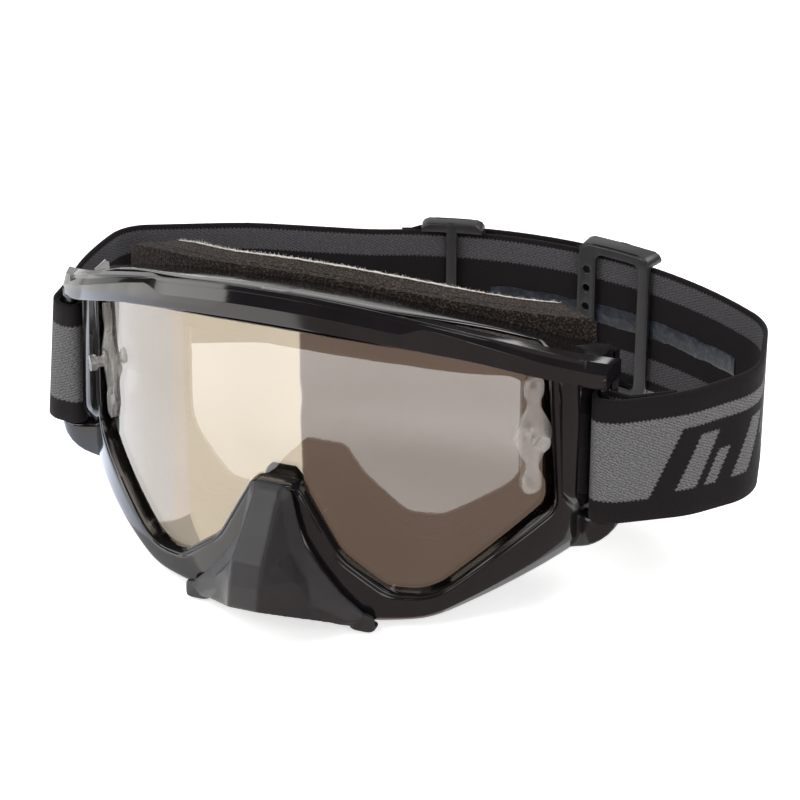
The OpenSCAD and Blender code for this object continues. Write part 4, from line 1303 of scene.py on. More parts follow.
    def build(self) -> None:
        """Makes the three layers and puts each on the frame."""
        back = self.layout.face_radius
        base = self.layer("foam_base_ring", 95.0, 87.2, 0.0, 0.3, 1.0, 0.35, (0.95, 0.97))
        self.roughen(base, 1.2, 0.35)
        place(base, Body.FRAME, OpenCellFoam(), ["foam_base"])
        cushion = self.layer("foam_cushion_ring", 87.4, back + 1.5, 0.4, 0.5, 1.6, 0.4, (0.97, 1.0))
        self.roughen(cushion, 1.2, 0.35)
        # Its glint colour is a painted highlight on the cell walls' ends, and its pits carry painted shade as
        # in the base foam
        soft = OpenCellFoam(name="cast_soft_foam", wall="#2f2722", glint="#63574e", pore_mm=0.6)
        place(cushion, Body.FRAME, soft, ["foam_cushion"])
        fleece = self.layer("fleece_face", back + 1.6, back + 0.3, 1.0, 0.2, 0.6, 0.1, (1.0, 1.0))
        self.roughen(fleece, 1.0, 0.7)
        fleece = joined("fleece_nap", [applied(fleece), self.fibres()])
        place(fleece, Body.FRAME, Fleece(), ["fleece_lining"])


@dataclass
class FrameBody:
    """The hollow body behind the rim: side and lower walls, the sloping hood with its vents, and their foam."""

    layout: Layout
    wall: float = 2.2
    wall_front: float = 88.5
    under_hood: float = 0.4
    inset: float = 0.4
    back_axis_y: float = 89.0
    back_radius: float = 103.5
    brow_axis_y: float = 71.0
    front_radius: float = 111.4
    hood_slope: float = 0.33
    hood_fall: float = 534.0
    hood_z0: float = 36.75
    # The hood's rolled side edges, as distances outwards and down
    side_roll: Tuple[Pair, ...] = ((0.75, 0.12), (1.05, 0.5), (1.2, 1.2), (1.2, 7.5))
    # From the vent's back edge to the flange: share of the way and how far the hood swells there
    hood_rows: Tuple[Pair, ...] = (
        (0.0, 0.0), (0.06, 0.35), (0.14, 0.45), (0.3, 0.42), (0.5, 0.3), (0.7, 0.15), (0.86, 0.0), (1.0, 0.0))
    # The upper vents: inner and outer end, and the radius of their back edge in the middle and at the temples
    vent_span: Pair = (3.0, 76.0)
    vent_front: float = 110.9
    vent_back: Pair = (108.9, 99.5)
    vent_widens: Pair = (26.0, 60.0)
    flange_trim_x: float = 66.0
    nose_trim: Pair = (16.0, -18.0)
    columns: int = 241

    def hood_z(self, x: Any, y: Any) -> Any:
        """Height of the hood's upper surface."""
        return self.hood_z0 - self.hood_slope * np.asarray(y) - np.asarray(x) ** 2 / self.hood_fall

    def on_brow(self, x: Any, radius: Any) -> Any:
        """Y of a point at x on a cylinder about the brow bar's axis."""
        return on_cylinder(x, self.brow_axis_y, radius)

    def back_y(self, x: Any) -> Any:
        """Y of the face flange's front at x."""
        return on_cylinder(x, self.back_axis_y, self.back_radius)

    def vent_back_radius(self, x: np.ndarray) -> np.ndarray:
        """Radius of the vent's back edge at x, where it equals the front radius past the vent's ends."""
        reach = np.abs(x)
        middle, temple = self.vent_back
        wide = middle + (temple - middle) * smoothstep(*self.vent_widens, reach)
        inner, outer = self.vent_span
        shut = np.maximum(smoothstep(outer - 9, outer, reach), 1 - smoothstep(inner, inner + 1.5, reach))
        return wide + (self.vent_front - wide) * shut

    def hood(self) -> Piece:
        """The hood, with an opening for each vent and rolled side edges."""
        half = self.layout.frame_half_w - self.inset - 1.2
        flat = np.linspace(-half, half, self.columns)
        out, fall = np.array(self.side_roll).T
        xs = np.concatenate([-half - out[::-1], flat, half + out])
        falls = np.concatenate([fall[::-1], 0 * flat, fall])
        clipped = np.clip(xs, -half, half)
        vent_y = self.on_brow(clipped, self.vent_back_radius(clipped))
        front_y, slit_y = self.on_brow(clipped, self.front_radius), self.on_brow(clipped, self.vent_front)
        end_y = self.back_y(clipped)
        rows = [(front_y, 0.0), (slit_y, 0.0)]
        rows += [(vent_y + (end_y - vent_y) * share, swell) for share, swell in self.hood_rows]
        fade = smoothstep(80, 60, np.abs(clipped))
        grid = np.array([xyz(xs, y, self.hood_z(clipped, y) + swell * fade - falls) for y, swell in rows])
        cols = len(xs)
        faces = []
        for r in range(len(rows) - 1):
            for c in range(cols - 1):
                if r == 1 and min(vent_y[c] - slit_y[c], vent_y[c + 1] - slit_y[c + 1]) > 1e-6:
                    continue
                faces.append([r * cols + c, r * cols + c + 1, (r + 1) * cols + c + 1, (r + 1) * cols + c])
        hood = new_mesh("hood_panel", grid.reshape(-1, 3), faces, sharp=30)
        modify(hood, "SOLIDIFY", thickness=1.6 * MM, offset=-1)
        bevel(hood, 0.35, 2, 50)
        modify(hood, "WEIGHTED_NORMAL", keep_sharp=True)
        return applied(hood)

    def walls(self) -> Piece:
        """The wall down both sides and along the bottom, from the rim to the flange."""
        half = self.layout.rim(-self.inset)
        half = at_lengths(half, np.arange(0, lengths(half)[-1], 1.2))
        half = half[(half[:, 0] > self.layout.frame_half_w - 3) | (half[:, 1] < 0)]
        half = np.concatenate([half, [[0.0, half[-1, 1]]]])
        loop = np.concatenate([half, (half[-2::-1] * [-1, 1])])
        front_y, back_y = self.layout.on_lens(loop[:, 0], self.wall_front), self.back_y(loop[:, 0])
        rows = []
        for depth, y in ((0.0, front_y), (0.0, back_y), (self.wall, back_y), (self.wall, front_y)):
            x, z = (loop - normals(loop) * depth).T
            rows.append(xyz(x, y, np.minimum(z, self.hood_z(x, y) - self.under_hood)))
        grid = np.array(rows).transpose(1, 0, 2)
        return tube("walls", grid, 40)

    def upper_foam(self, side: Side) -> Piece:
        """The strip of filter foam that fills one upper vent from below."""
        xs = np.linspace(self.vent_span[0] + 0.2, self.vent_span[1] + 1, 90)
        back = np.minimum(self.vent_back_radius(xs), self.vent_front - 1.0) - 0.8
        rows = []
        for share in np.linspace(0, 1, 9):
            y = self.on_brow(xs, self.vent_front + 0.2) * (1 - share) + self.on_brow(xs, back) * share
            rows.append(xyz(xs * side.value, y, self.hood_z(xs, y) - 0.75))
        foam = grid_mesh(f"filter_upper_{side.name.lower()}", np.array(rows), sharp=60)
        modify(foam, "SOLIDIFY", thickness=1.8 * MM, offset=-1)
        return applied(foam)

    def build(self) -> None:
        """Makes the body, dresses the flange and fills the vents."""
        body = joined("frame_body", [self.hood(), self.walls()])
        place(body, Body.FRAME, GlossTpu(), ["frame_shell"])
        flange = linked("seal_flange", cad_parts["face_flange"].data.copy())
        for vert in flange.data.vertices:
            x, y, z = vert.co / MM
            if abs(x) > self.flange_trim_x:
                vert.co.z = min(z, float(self.hood_z(x, y)) - self.under_hood) * MM
            elif abs(x) < self.nose_trim[0] and -30 < z < 0:
                vert.co.z = min(z, self.nose_trim[1]) * MM
        place(flange, Body.FRAME, GlossTpu(), ["face_flange"])
        for height in ("upper", "lower"):
            for side in Side:
                self.fill(height, side)

    def fill(self, height: str, side: Side) -> None:
        """Fills one vent with filter foam: new above, and with its CAD shape below."""
        source = f"{height}_vent_foam_{side.name.lower()}"
        if height == "upper":
            foam = self.upper_foam(side)
        else:
            foam = linked(f"filter_lower_{side.name.lower()}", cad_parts[source].data.copy())
        modify(foam, "REMESH", mode="VOXEL", voxel_size=0.5 * MM, use_smooth_shade=True)
        pores(foam, 1.3, 0.45)
        # Its glint colour is a painted highlight on the cell walls' ends, and its pits carry painted shade as
        # in the base foam
        finish = OpenCellFoam(name="skived_filter_foam", wall="#352e29", glint="#6a5f57", pore_mm=0.8)
        place(applied(foam), Body.FRAME, finish, [source])


@dataclass
class Strap:
    """The webbing: its route in plan, its ribbons, the grip stripes and the stitched tacks."""

    layout: Layout
    thickness: float = 1.4
    arc_centre: Pair = (36.0, -36.0)
    arc_radius: float = 130.0
    arc_right: float = 36.0
    arc_left: float = -21.0
    ring_angle: float = -12.4
    slider_angle: float = 12.9
    ring_length: float = 21.0
    ring_side: float = 7.8
    slider_length: float = 27.0
    clear: float = 0.3
    plate: float = 1.8
    sewn_tail: float = 14.0
    lead_right: float = 5.0
    lead_left: float = 9.5
    grip_w: float = 6.5
    grip_t: float = 0.4
    grain: float = 1.2
    tail_gap: float = 1.46
    lean: float = 1.9
    loop_forward: float = 1.3
    loop_out: float = 0.3
    gather: float = 2.2
    edge: float = 0.45
    # Where the pattern starts along the right and the left webbing
    pattern_start: Pair = (22.0, 24.0)
    stitch_pitch: float = 1.3
    thread_radius: float = 0.22

    def on_arc(self, angle: float, radius: float) -> Pair:
        """Point on the back arc, by its angle in degrees and radius."""
        a = math.radians(angle)
        return self.arc_centre[0] + radius * math.sin(a), self.arc_centre[1] + radius * math.cos(a)

    def along(self, length: float) -> float:
        """Degrees of the back arc for a length of strap."""
        return math.degrees(length / self.arc_radius)

    @property
    def loop_radius(self) -> float:
        """Radius of the webbing's middle round a frame bar."""
        return self.layout.bar_radius + self.clear + self.thickness / 2

    @property
    def ring_sides(self) -> Pair:
        """Angles of the inner edges of the ring's right and left side bar."""
        reach = self.along(self.ring_length / 2) - self.along(self.ring_side)
        return self.ring_angle + reach, self.ring_angle - reach

    @property
    def inner_plate(self) -> Pair:
        """Radii of the bars inside the strap."""
        outer = self.arc_radius - self.thickness / 2 - self.grip_t - self.clear
        return outer - self.plate, outer

    @property
    def ring_plate(self) -> Pair:
        """Radii of the ring's side bars, outside the strap."""
        inner = self.arc_radius + self.thickness / 2 + self.clear
        return inner, inner + self.plate

    @property
    def slider_plate(self) -> Pair:
        """Radii of the slider's middle bar, outside both layers of strap."""
        inner = self.arc_radius + self.thickness / 2 + 2 * self.clear + self.thickness
        return inner, inner + self.plate

    @property
    def return_radius(self) -> float:
        """Radius of the outer layer of strap."""
        return self.ring_plate[1] + self.clear + self.thickness / 2

    def run(self, side: Side) -> np.ndarray:
        """The middle line from the frame bar to the start of the back arc."""
        start = self.layout.bar_y - self.loop_radius
        if side is Side.RIGHT:
            end = self.on_arc(self.arc_right, self.arc_radius)
            near = start - self.loop_forward
            return rounded([(self.layout.bar_x, near, 0), (91.5, near + 0.1, 14), (112, 12.8, 30),
                            (127.6, 31, 18), (121.3, 62.7, 20), (*end, 0)])
        end = self.on_arc(self.arc_left, self.arc_radius)
        lead_angle = math.radians(self.arc_left)
        lead = (end[0] - 8 * math.cos(lead_angle), end[1] + 8 * math.sin(lead_angle))
        return rounded([(-self.layout.bar_x, start, 0), (-95.8, start + 0.3, 7), (-97.6, 30, 60),
                        (-94.2, 57, 13), (-57, 73.6, 80), (*lead, 60), (*end, 0)])

    def bar_turn(self, side: Side) -> np.ndarray:
        """Half a turn round the frame bar, from the inside to the outside."""
        angles = np.radians(90 + 180 * np.arange(12) / 12)
        forward = self.loop_forward * smoothstep(0, -1, np.sin(angles)) * (side is Side.RIGHT)
        return np.stack([side.value * (self.layout.bar_x + (self.loop_radius + self.loop_out) * np.cos(angles)),
                         self.layout.bar_y + self.loop_radius * np.sin(angles) - forward], axis=1)

    def tail(self, side: Side) -> np.ndarray:
        """The sewn tail beside the run's first stretch."""
        start = self.layout.bar_y - self.loop_radius
        if side is Side.RIGHT:
            c, ahead, lead = np.array([91.5, start + 0.2]), np.array([112, 12.8]), self.lead_right
        else:
            c, ahead, lead = np.array([-95.8, start + 0.3]), np.array([-97.6, 30]), self.lead_left
        d = unit(ahead - c)
        off = left_of(d) * side.value * self.tail_gap
        return np.array([c + d * (lead + self.sewn_tail) + off, c + d * lead + off])

    def ring_turn(self, edge: float, side: int) -> np.ndarray:
        """Half a turn round one of the ring's side bars."""
        turn = (self.return_radius - self.arc_radius) / 2
        return np.array([self.on_arc(edge - side * self.along(turn * math.sin(a)),
                                     self.arc_radius + turn * (1 - math.cos(a)))
                         for a in np.linspace(0, math.pi, 13)])

    def arc(self, start: float, end: float, radius: float) -> np.ndarray:
        """Points of the back arc between two angles."""
        count = max(2, int(abs(end - start)) + 1)
        return np.array([self.on_arc(a, radius) for a in np.linspace(start, end, count)])

    def taper(self, path: np.ndarray) -> np.ndarray:
        """How far the strap's top edge drops beside the frame bars, where the webbing is gathered."""
        reach = np.hypot(np.abs(path[:, 0]) - self.layout.bar_x, path[:, 1] - self.layout.bar_y)
        return self.gather * (1 - smoothstep(6, 48, reach))

    def section(self) -> List[Triple]:
        """The webbing's section, as (distance outwards, share of its height, height added)."""
        half, edge = self.thickness / 2, self.edge
        heights = np.linspace(0, 1, 13)
        section: List[Triple] = [(half, share, edge * (1 - 2 * share)) for share in heights]
        section += [(half * 0.7, 1.0, -edge * 0.35), (0.0, 1.0, 0.0), (-half * 0.7, 1.0, -edge * 0.35)]
        section += [(-half, share, edge * (1 - 2 * share)) for share in heights[::-1]]
        section += [(-half * 0.7, 0.0, edge * 0.35), (0.0, 0.0, 0.0), (half * 0.7, 0.0, edge * 0.35)]
        return section

    def ribbon(self, name: str, path: np.ndarray, outer_side: int, bar_at: float) -> Piece:
        """A flat strap along a path.

        Args:
            name: Name of the piece.
            path: Points of its middle line in plan.
            outer_side: 1 where the strap's outside lies left of the path, else -1.
            bar_at: Distance along the path where the pattern starts.

        Returns:
            The mesh, with its length and height as UVs and its two faces as two materials.
        """
        s = lengths(path)
        where = np.unique(np.concatenate([s, np.arange(0, s[-1], self.grain)]))
        where = where[np.concatenate([[True], np.diff(where) > 0.15])]
        line = at_lengths(path, where)
        normal = normals(line) * outer_side
        low = self.layout.strap_low_z
        high = self.layout.strap_top_z - self.taper(line)
        section = self.section()
        grid = np.zeros((len(line), len(section), 3))
        bar_x, bar_y = self.layout.bar_x, self.layout.bar_y
        lean = self.lean * (1 - smoothstep(10, 46, np.hypot(line[:, 0] + bar_x, line[:, 1] - bar_y)))
        lean *= smoothstep(bar_x - 1, bar_x + 5, -line[:, 0])
        for j, (off, share, pull) in enumerate(section):
            grid[:, j, :2] = line + normal * off
            grid[:, j, 0] -= lean * (1 - 2 * share)
            grid[:, j, 2] = low + (high - low) * share + pull
        obj = tube(name, grid, 60)
        mesh = obj.data
        mesh.materials.append(Webbing(name="woven_webbing_outside").material())
        # The inside's grey_dark and grey_lit are painted shade and painted highlight on its weave
        mesh.materials.append(Webbing(name="woven_webbing_inside", face=WebbingFace.INSIDE, grey_dark="#353436",
                                      grey="#535154", grey_lit="#6f6d70").material())
        self.dress(mesh, section, where - bar_at)
        return obj

    def dress(self, mesh: bpy.types.Mesh, section: Sequence[Triple], run: np.ndarray) -> None:
        """Writes a ribbon's UVs in millimetres and gives each face the side that it lies on."""
        columns = len(section)
        assert len(mesh.vertices) == columns * len(run), "a ribbon's points were merged"
        uv = mesh.uv_layers.new(name="strap")
        for face in mesh.polygons:
            face.material_index = 0 if sum(section[v % columns][0] for v in face.vertices) > 0 else 1
            for loop in face.loop_indices:
                row, column = divmod(mesh.loops[loop].vertex_index, columns)
                uv.data[loop].uv = (run[row], (section[column][1] - 0.5) * self.layout.strap_w)

    def build(self) -> None:
        """Makes the three lengths of webbing, the grip stripes and the tacks."""
        ring_right, ring_left = self.ring_sides
        right = np.concatenate([self.tail(Side.RIGHT), self.bar_turn(Side.RIGHT), self.run(Side.RIGHT),
                                self.arc(self.arc_right - 1, ring_right + 1, self.arc_radius),
                                self.ring_turn(ring_right, 1)])
        piece = self.ribbon("strap_webbing_right", right, -1, self.pattern_start[0])
        place(piece, Body.FRAME, None, ["strap_right"])
        ring_start = self.ring_angle - self.along(self.ring_length / 2)
        tail_radius = self.arc_radius + self.tail_gap
        left = np.concatenate([self.tail(Side.LEFT), self.bar_turn(Side.LEFT), self.run(Side.LEFT),
                               self.arc(self.arc_left + 1, ring_left - 1, self.arc_radius),
                               self.ring_turn(ring_left, -1),
                               [self.on_arc(ring_start, self.return_radius),
                                self.on_arc(ring_start - self.along(3), tail_radius),
                                self.on_arc(ring_left - self.along(self.sewn_tail), tail_radius)]])
        piece = self.ribbon("strap_webbing_left", left, 1, self.pattern_start[1])
        place(piece, Body.FRAME, None, ["strap_left"])
        self.build_return(ring_right)
        self.build_grips()
        self.build_tacks()

    def build_return(self, ring_right: float) -> None:
        """The outer layer, from the ring back to the slider, which rides on no body."""
        mid0, mid1 = self.slider_angle - self.along(2), self.slider_angle + self.along(2)
        tail_end = mid0 - self.along(self.sewn_tail)
        inner, outer = self.slider_plate
        turn = (outer - inner + self.thickness) / 2 + self.clear
        middle = (inner + outer) / 2
        path = np.concatenate([
            self.arc(ring_right, mid0 - 5, self.return_radius),
            [self.on_arc(mid0 - 2.5, self.return_radius), self.on_arc(mid0, middle + turn)],
            [self.on_arc(mid1 + self.along(turn * math.sin(a)), middle + turn * math.cos(a))
             for a in np.linspace(0, math.pi, 13)],
            [self.on_arc(mid0, middle - turn), self.on_arc(tail_end, middle - turn)]])
        piece = self.ribbon("strap_webbing_return", path, 1, 0.0)
        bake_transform(piece)
        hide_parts("strap_return")
        log.info("%s: %d faces between two bodies", piece.name, len(piece.data.polygons))

    def grip(self, name: str, path: np.ndarray, node: str) -> None:
        """One uneven bead of silicone along a path on the strap's inner face."""
        line = at_lengths(path, np.arange(0, lengths(path)[-1], 1.0))
        normal = normals(line)
        # The beads lie on the side that faces the middle of the head
        inward = np.sign(np.sum((np.array([0.0, 20.0]) - line[len(line) // 2]) * normal[len(line) // 2]))
        middle = self.layout.strap_top_z - self.layout.strap_w / 2 + 0.6
        rng = np.random.default_rng(7)
        upper, lower = (np.convolve(rng.normal(0, 1, len(line) + 8), np.ones(n) / n, "same")[4:-4] * 0.55
                        for n in (5, 4))
        columns = []
        for share, rise in ((-1.0, -0.3), (-1.0, 0.12), (-0.8, 0.42), (0.0, 0.5), (0.8, 0.42), (1.0, 0.12),
                            (1.0, -0.3)):
            wander = 0.0 if abs(share) <= 0.5 else upper if share > 0 else lower
            x, y = (line + normal * (inward * rise * self.grip_t * 2)).T
            columns.append(xyz(x, y, middle + share * self.grip_w / 2 + wander))
        rows = np.stack(columns, axis=1)
        bead = tube(name, rows, 60)
        place(bead, Body.FRAME, SiliconeBead(), [node])

    def build_grips(self) -> None:
        """Both silicone beads, on the inner face of each side's webbing."""
        inner = self.arc_radius - self.thickness / 2
        right_end = self.ring_angle + self.along(self.ring_length / 2)
        self.grip("grip_bead_right", self.arc(self.arc_right - 1, right_end + 1, inner), "grip_strip_right")
        run = self.run(Side.LEFT)
        inside = run - normals(run) * (self.thickness / 2)
        keep = (run[:, 1] > 50) & (run[:, 0] > -88) & (run[:, 0] < -22)
        self.grip("grip_bead_left", inside[keep], "grip_strip_left")

    def build_tacks(self) -> None:
        """Rows of thread across each sewn tail, as short slanted stitches."""
        parts = []
        low, high = self.layout.strap_low_z + 3, self.layout.strap_top_z - 4.5
        up = np.array([0, 0, 1.0])
        for side in (Side.RIGHT, Side.LEFT):
            end, start = self.tail(side)
            d = unit(end - start)
            out = left_of(d) * side.value
            round_thread = np.cos(around(6))[:, None] * up + np.sin(around(6))[:, None] * np.array([*out, 0.0])
            for at in (2.3, self.sewn_tail - 2.3):
                base = start + d * (at - 0.8) + out * (self.thickness / 2 + 0.1)
                for k in range(int((high - low) / self.stitch_pitch)):
                    rows = []
                    for share in np.linspace(0, 1, 6):
                        spot = base + d * share * 1.6 + out * 0.3 * math.sin(math.pi * share)
                        z = low + k * self.stitch_pitch + share * 1.1
                        rows.append(np.array([*spot, z]) + self.thread_radius * round_thread)
                    parts.append(tube("stitch", rows))
        tacks = joined("bar_tack_stitches", parts)
        place(tacks, Body.FRAME, SewingThread(), ["bar_tacks"])


@dataclass
class Buckle:
    """A curved plate buckle on the strap: an outline with windows, bent on the back arc."""

    strap: Strap
    rail_gap: float = 0.5
    rail_h: float = 3.1
    corner: float = 5.0
    edge: float = 0.55

    def bent(self, angle: float, s: float, radius: float) -> Pair:
        """Point at a distance along the strap from an angle of the back arc."""
        return self.strap.on_arc(angle + math.degrees(s / self.strap.arc_radius), radius)

    def plate(self, name: str, angle: float, outline: Sequence[Triple], holes: Sequence[Sequence[Triple]],
              radii: Pair) -> Piece:
        """A plate with rounded edges, bent to the arc.

        Args:
            name: Name of the mesh.
            angle: Angle of the plate's middle on the arc.
            outline: Corners (along, height, radius) of its outline.
            holes: Corners of each window, or a circle as (along, height, radius).
            radii: Radii of its inner and outer face.

        Returns:
            The mesh.
        """
        curve = bpy.data.curves.new(name, "CURVE")
        curve.dimensions = "2D"
        curve.fill_mode = "BOTH"
        edge = self.edge
        for corners in [outline, *holes]:
            if len(corners) == 1:
                s, z, r = corners[0]
                turn = np.stack([np.cos(around(16)), np.sin(around(16))], axis=1)
                path = np.array([s, z]) + (r + edge) * turn
            else:
                path = self.closed(corners, -edge if corners is outline else edge)
            spline = curve.splines.new("POLY")
            spline.points.add(len(path) - 1)
            for point, (s, z) in zip(spline.points, path):
                point.co = (s, z, 0, 1)
            spline.use_cyclic_u = True
        curve.extrude = (radii[1] - radii[0]) / 2 - edge
        curve.bevel_depth = edge
        curve.bevel_resolution = 2
        flat = linked(name, curve)
        mesh = evaluated(flat)
        bpy.data.objects.remove(flat)
        bm = bmesh.new()
        bm.from_mesh(mesh)
        bmesh.ops.remove_doubles(bm, verts=bm.verts, dist=1e-4)
        span = max(abs(c[0]) for c in outline)
        for cut in np.arange(-span + 1.5, span, 3.0):
            bmesh.ops.bisect_plane(bm, geom=[*bm.verts, *bm.edges, *bm.faces], plane_co=(cut, 0, 0),
                                   plane_no=(1, 0, 0))
        middle = (radii[0] + radii[1]) / 2
        for vert in bm.verts:
            s, z, deep = vert.co
            x, y = self.bent(angle, s, middle + deep)
            vert.co = (x * MM, y * MM, z * MM)
        shaded(bm, 35)
        bm.to_mesh(mesh)
        bm.free()
        return linked(name, mesh)

    @staticmethod
    def closed(corners: Sequence[Triple], grow: float) -> np.ndarray:
        """A closed rounded outline, clockwise, moved outwards by a distance."""
        n = len(corners)
        spots = [np.array(c[:2], float) for c in corners]
        moved = [mitred(spots[k - 1], spots[k], spots[(k + 1) % n], grow)[0] for k in range(n)]
        path: List[np.ndarray] = []
        for k, corner in enumerate(corners):
            path.extend(fillet(moved[k - 1], moved[k], moved[(k + 1) % n], max(0.2, corner[2] + grow), 12))
        return np.array(path)

    @property
    def rails(self) -> Tuple[float, float, float, float]:
        """Heights of the lower rail's foot and head and the upper rail's foot and head."""
        low = self.strap.layout.strap_low_z - self.rail_gap
        high = self.strap.layout.strap_top_z + self.rail_gap
        return low - self.rail_h, low, high, high + self.rail_h

    def box(self, s0: float, s1: float, r: float) -> List[Triple]:
        """Corners of a window between two places along the strap."""
        _, low, high, _ = self.rails
        return [(s0, high, r), (s1, high, r), (s1, low, r), (s0, low, r)]

    def outline(self, half: float, r: float) -> List[Triple]:
        """Corners of a plate of the buckle's full height, by its half length and corner radius."""
        foot, _, _, head = self.rails
        return [(-half, head, r), (half, head, r), (half, foot, r), (-half, foot, r)]

    def rail_blocks(self, name: str, angle: float, half: float, radii: Pair) -> List[Piece]:
        """The deeper rails above and below the webbing, which carry the bars on both of its faces."""
        foot, low, high, head = self.rails
        grow = self.corner * 0.55
        stations = ((half - 0.4, 0.45), (half - 1.2, 0.8), (half - grow, 1.0))
        stations = [*((-s, share) for s, share in stations), (0, 1.0), *reversed(stations)]
        blocks = []
        for near, far in ((low, foot), (high, head)):
            rows = []
            for s, share in stations:
                edge_z = near + (far - near) * share
                radius, z = round_box(radii, (min(near, edge_z), max(near, edge_z)), 0.6, 3)
                rows.append([(*self.bent(angle, s, r), height) for r, height in zip(radius, z)])
            blocks.append(tube(f"{name}_rail", rows, 60))
        return blocks


@dataclass
class JoiningRing(Buckle):
    """The fixed ring that joins the two straps: side bars outside, middle bar inside."""

    middle_w: float = 3.6

    def build(self) -> Piece:
        """Makes the ring in one piece."""
        strap = self.strap
        half, side_w = strap.ring_length / 2, strap.ring_side
        window = self.box(-half + side_w, half - side_w, 2.2)
        outer = self.plate("ring_sides", strap.ring_angle, self.outline(half, self.corner), [window],
                           strap.ring_plate)
        bar = self.outline(self.middle_w / 2, 0.6)
        inner = self.plate("ring_bar", strap.ring_angle, bar, [], strap.inner_plate)
        depth = (strap.inner_plate[0] + 0.2, strap.ring_plate[1] - 0.1)
        rails = self.rail_blocks("ring", strap.ring_angle, half, depth)
        ring = joined("joining_ring", [outer, inner, *rails])
        return place(ring, Body.FRAME, SatinNylon(), ["strap_ring"])


@dataclass
class AdjustingSlider(Buckle):
    """The slider: side bars inside the strap, the left one with a row of holes, middle bar outside."""

    left_w: float = 6.5
    middle_w: float = 4.0
    right_w: float = 4.5
    dimple_radius: float = 1.25
    dimple_pitch: float = 6.6
    dimples: int = 6

    def build(self) -> Piece:
        """Makes the slider in one piece."""
        strap = self.strap
        half = strap.slider_length / 2
        window = self.box(-half + self.left_w, half - self.right_w, 2.2)
        middle_z = strap.layout.strap_top_z - strap.layout.strap_w / 2
        holes = [[(-half + self.left_w / 2, middle_z + (k - (self.dimples - 1) / 2) * self.dimple_pitch,
                   self.dimple_radius)] for k in range(self.dimples)]
        outline = self.outline(half, self.corner)
        inner = self.plate("slider_sides", strap.slider_angle, outline, [window, *holes], strap.inner_plate)
        bar = self.outline(self.middle_w / 2, 0.8)
        outer = self.plate("slider_bar", strap.slider_angle, bar, [], strap.slider_plate)
        depth = (strap.inner_plate[0] + 0.1, strap.slider_plate[1] - 0.1)
        rails = self.rail_blocks("slider", strap.slider_angle, half, depth)
        slider = joined("adjusting_slider", [inner, outer, *rails])
        return place(slider, Body.SLIDER, SatinNylon(), ["strap_slider"])


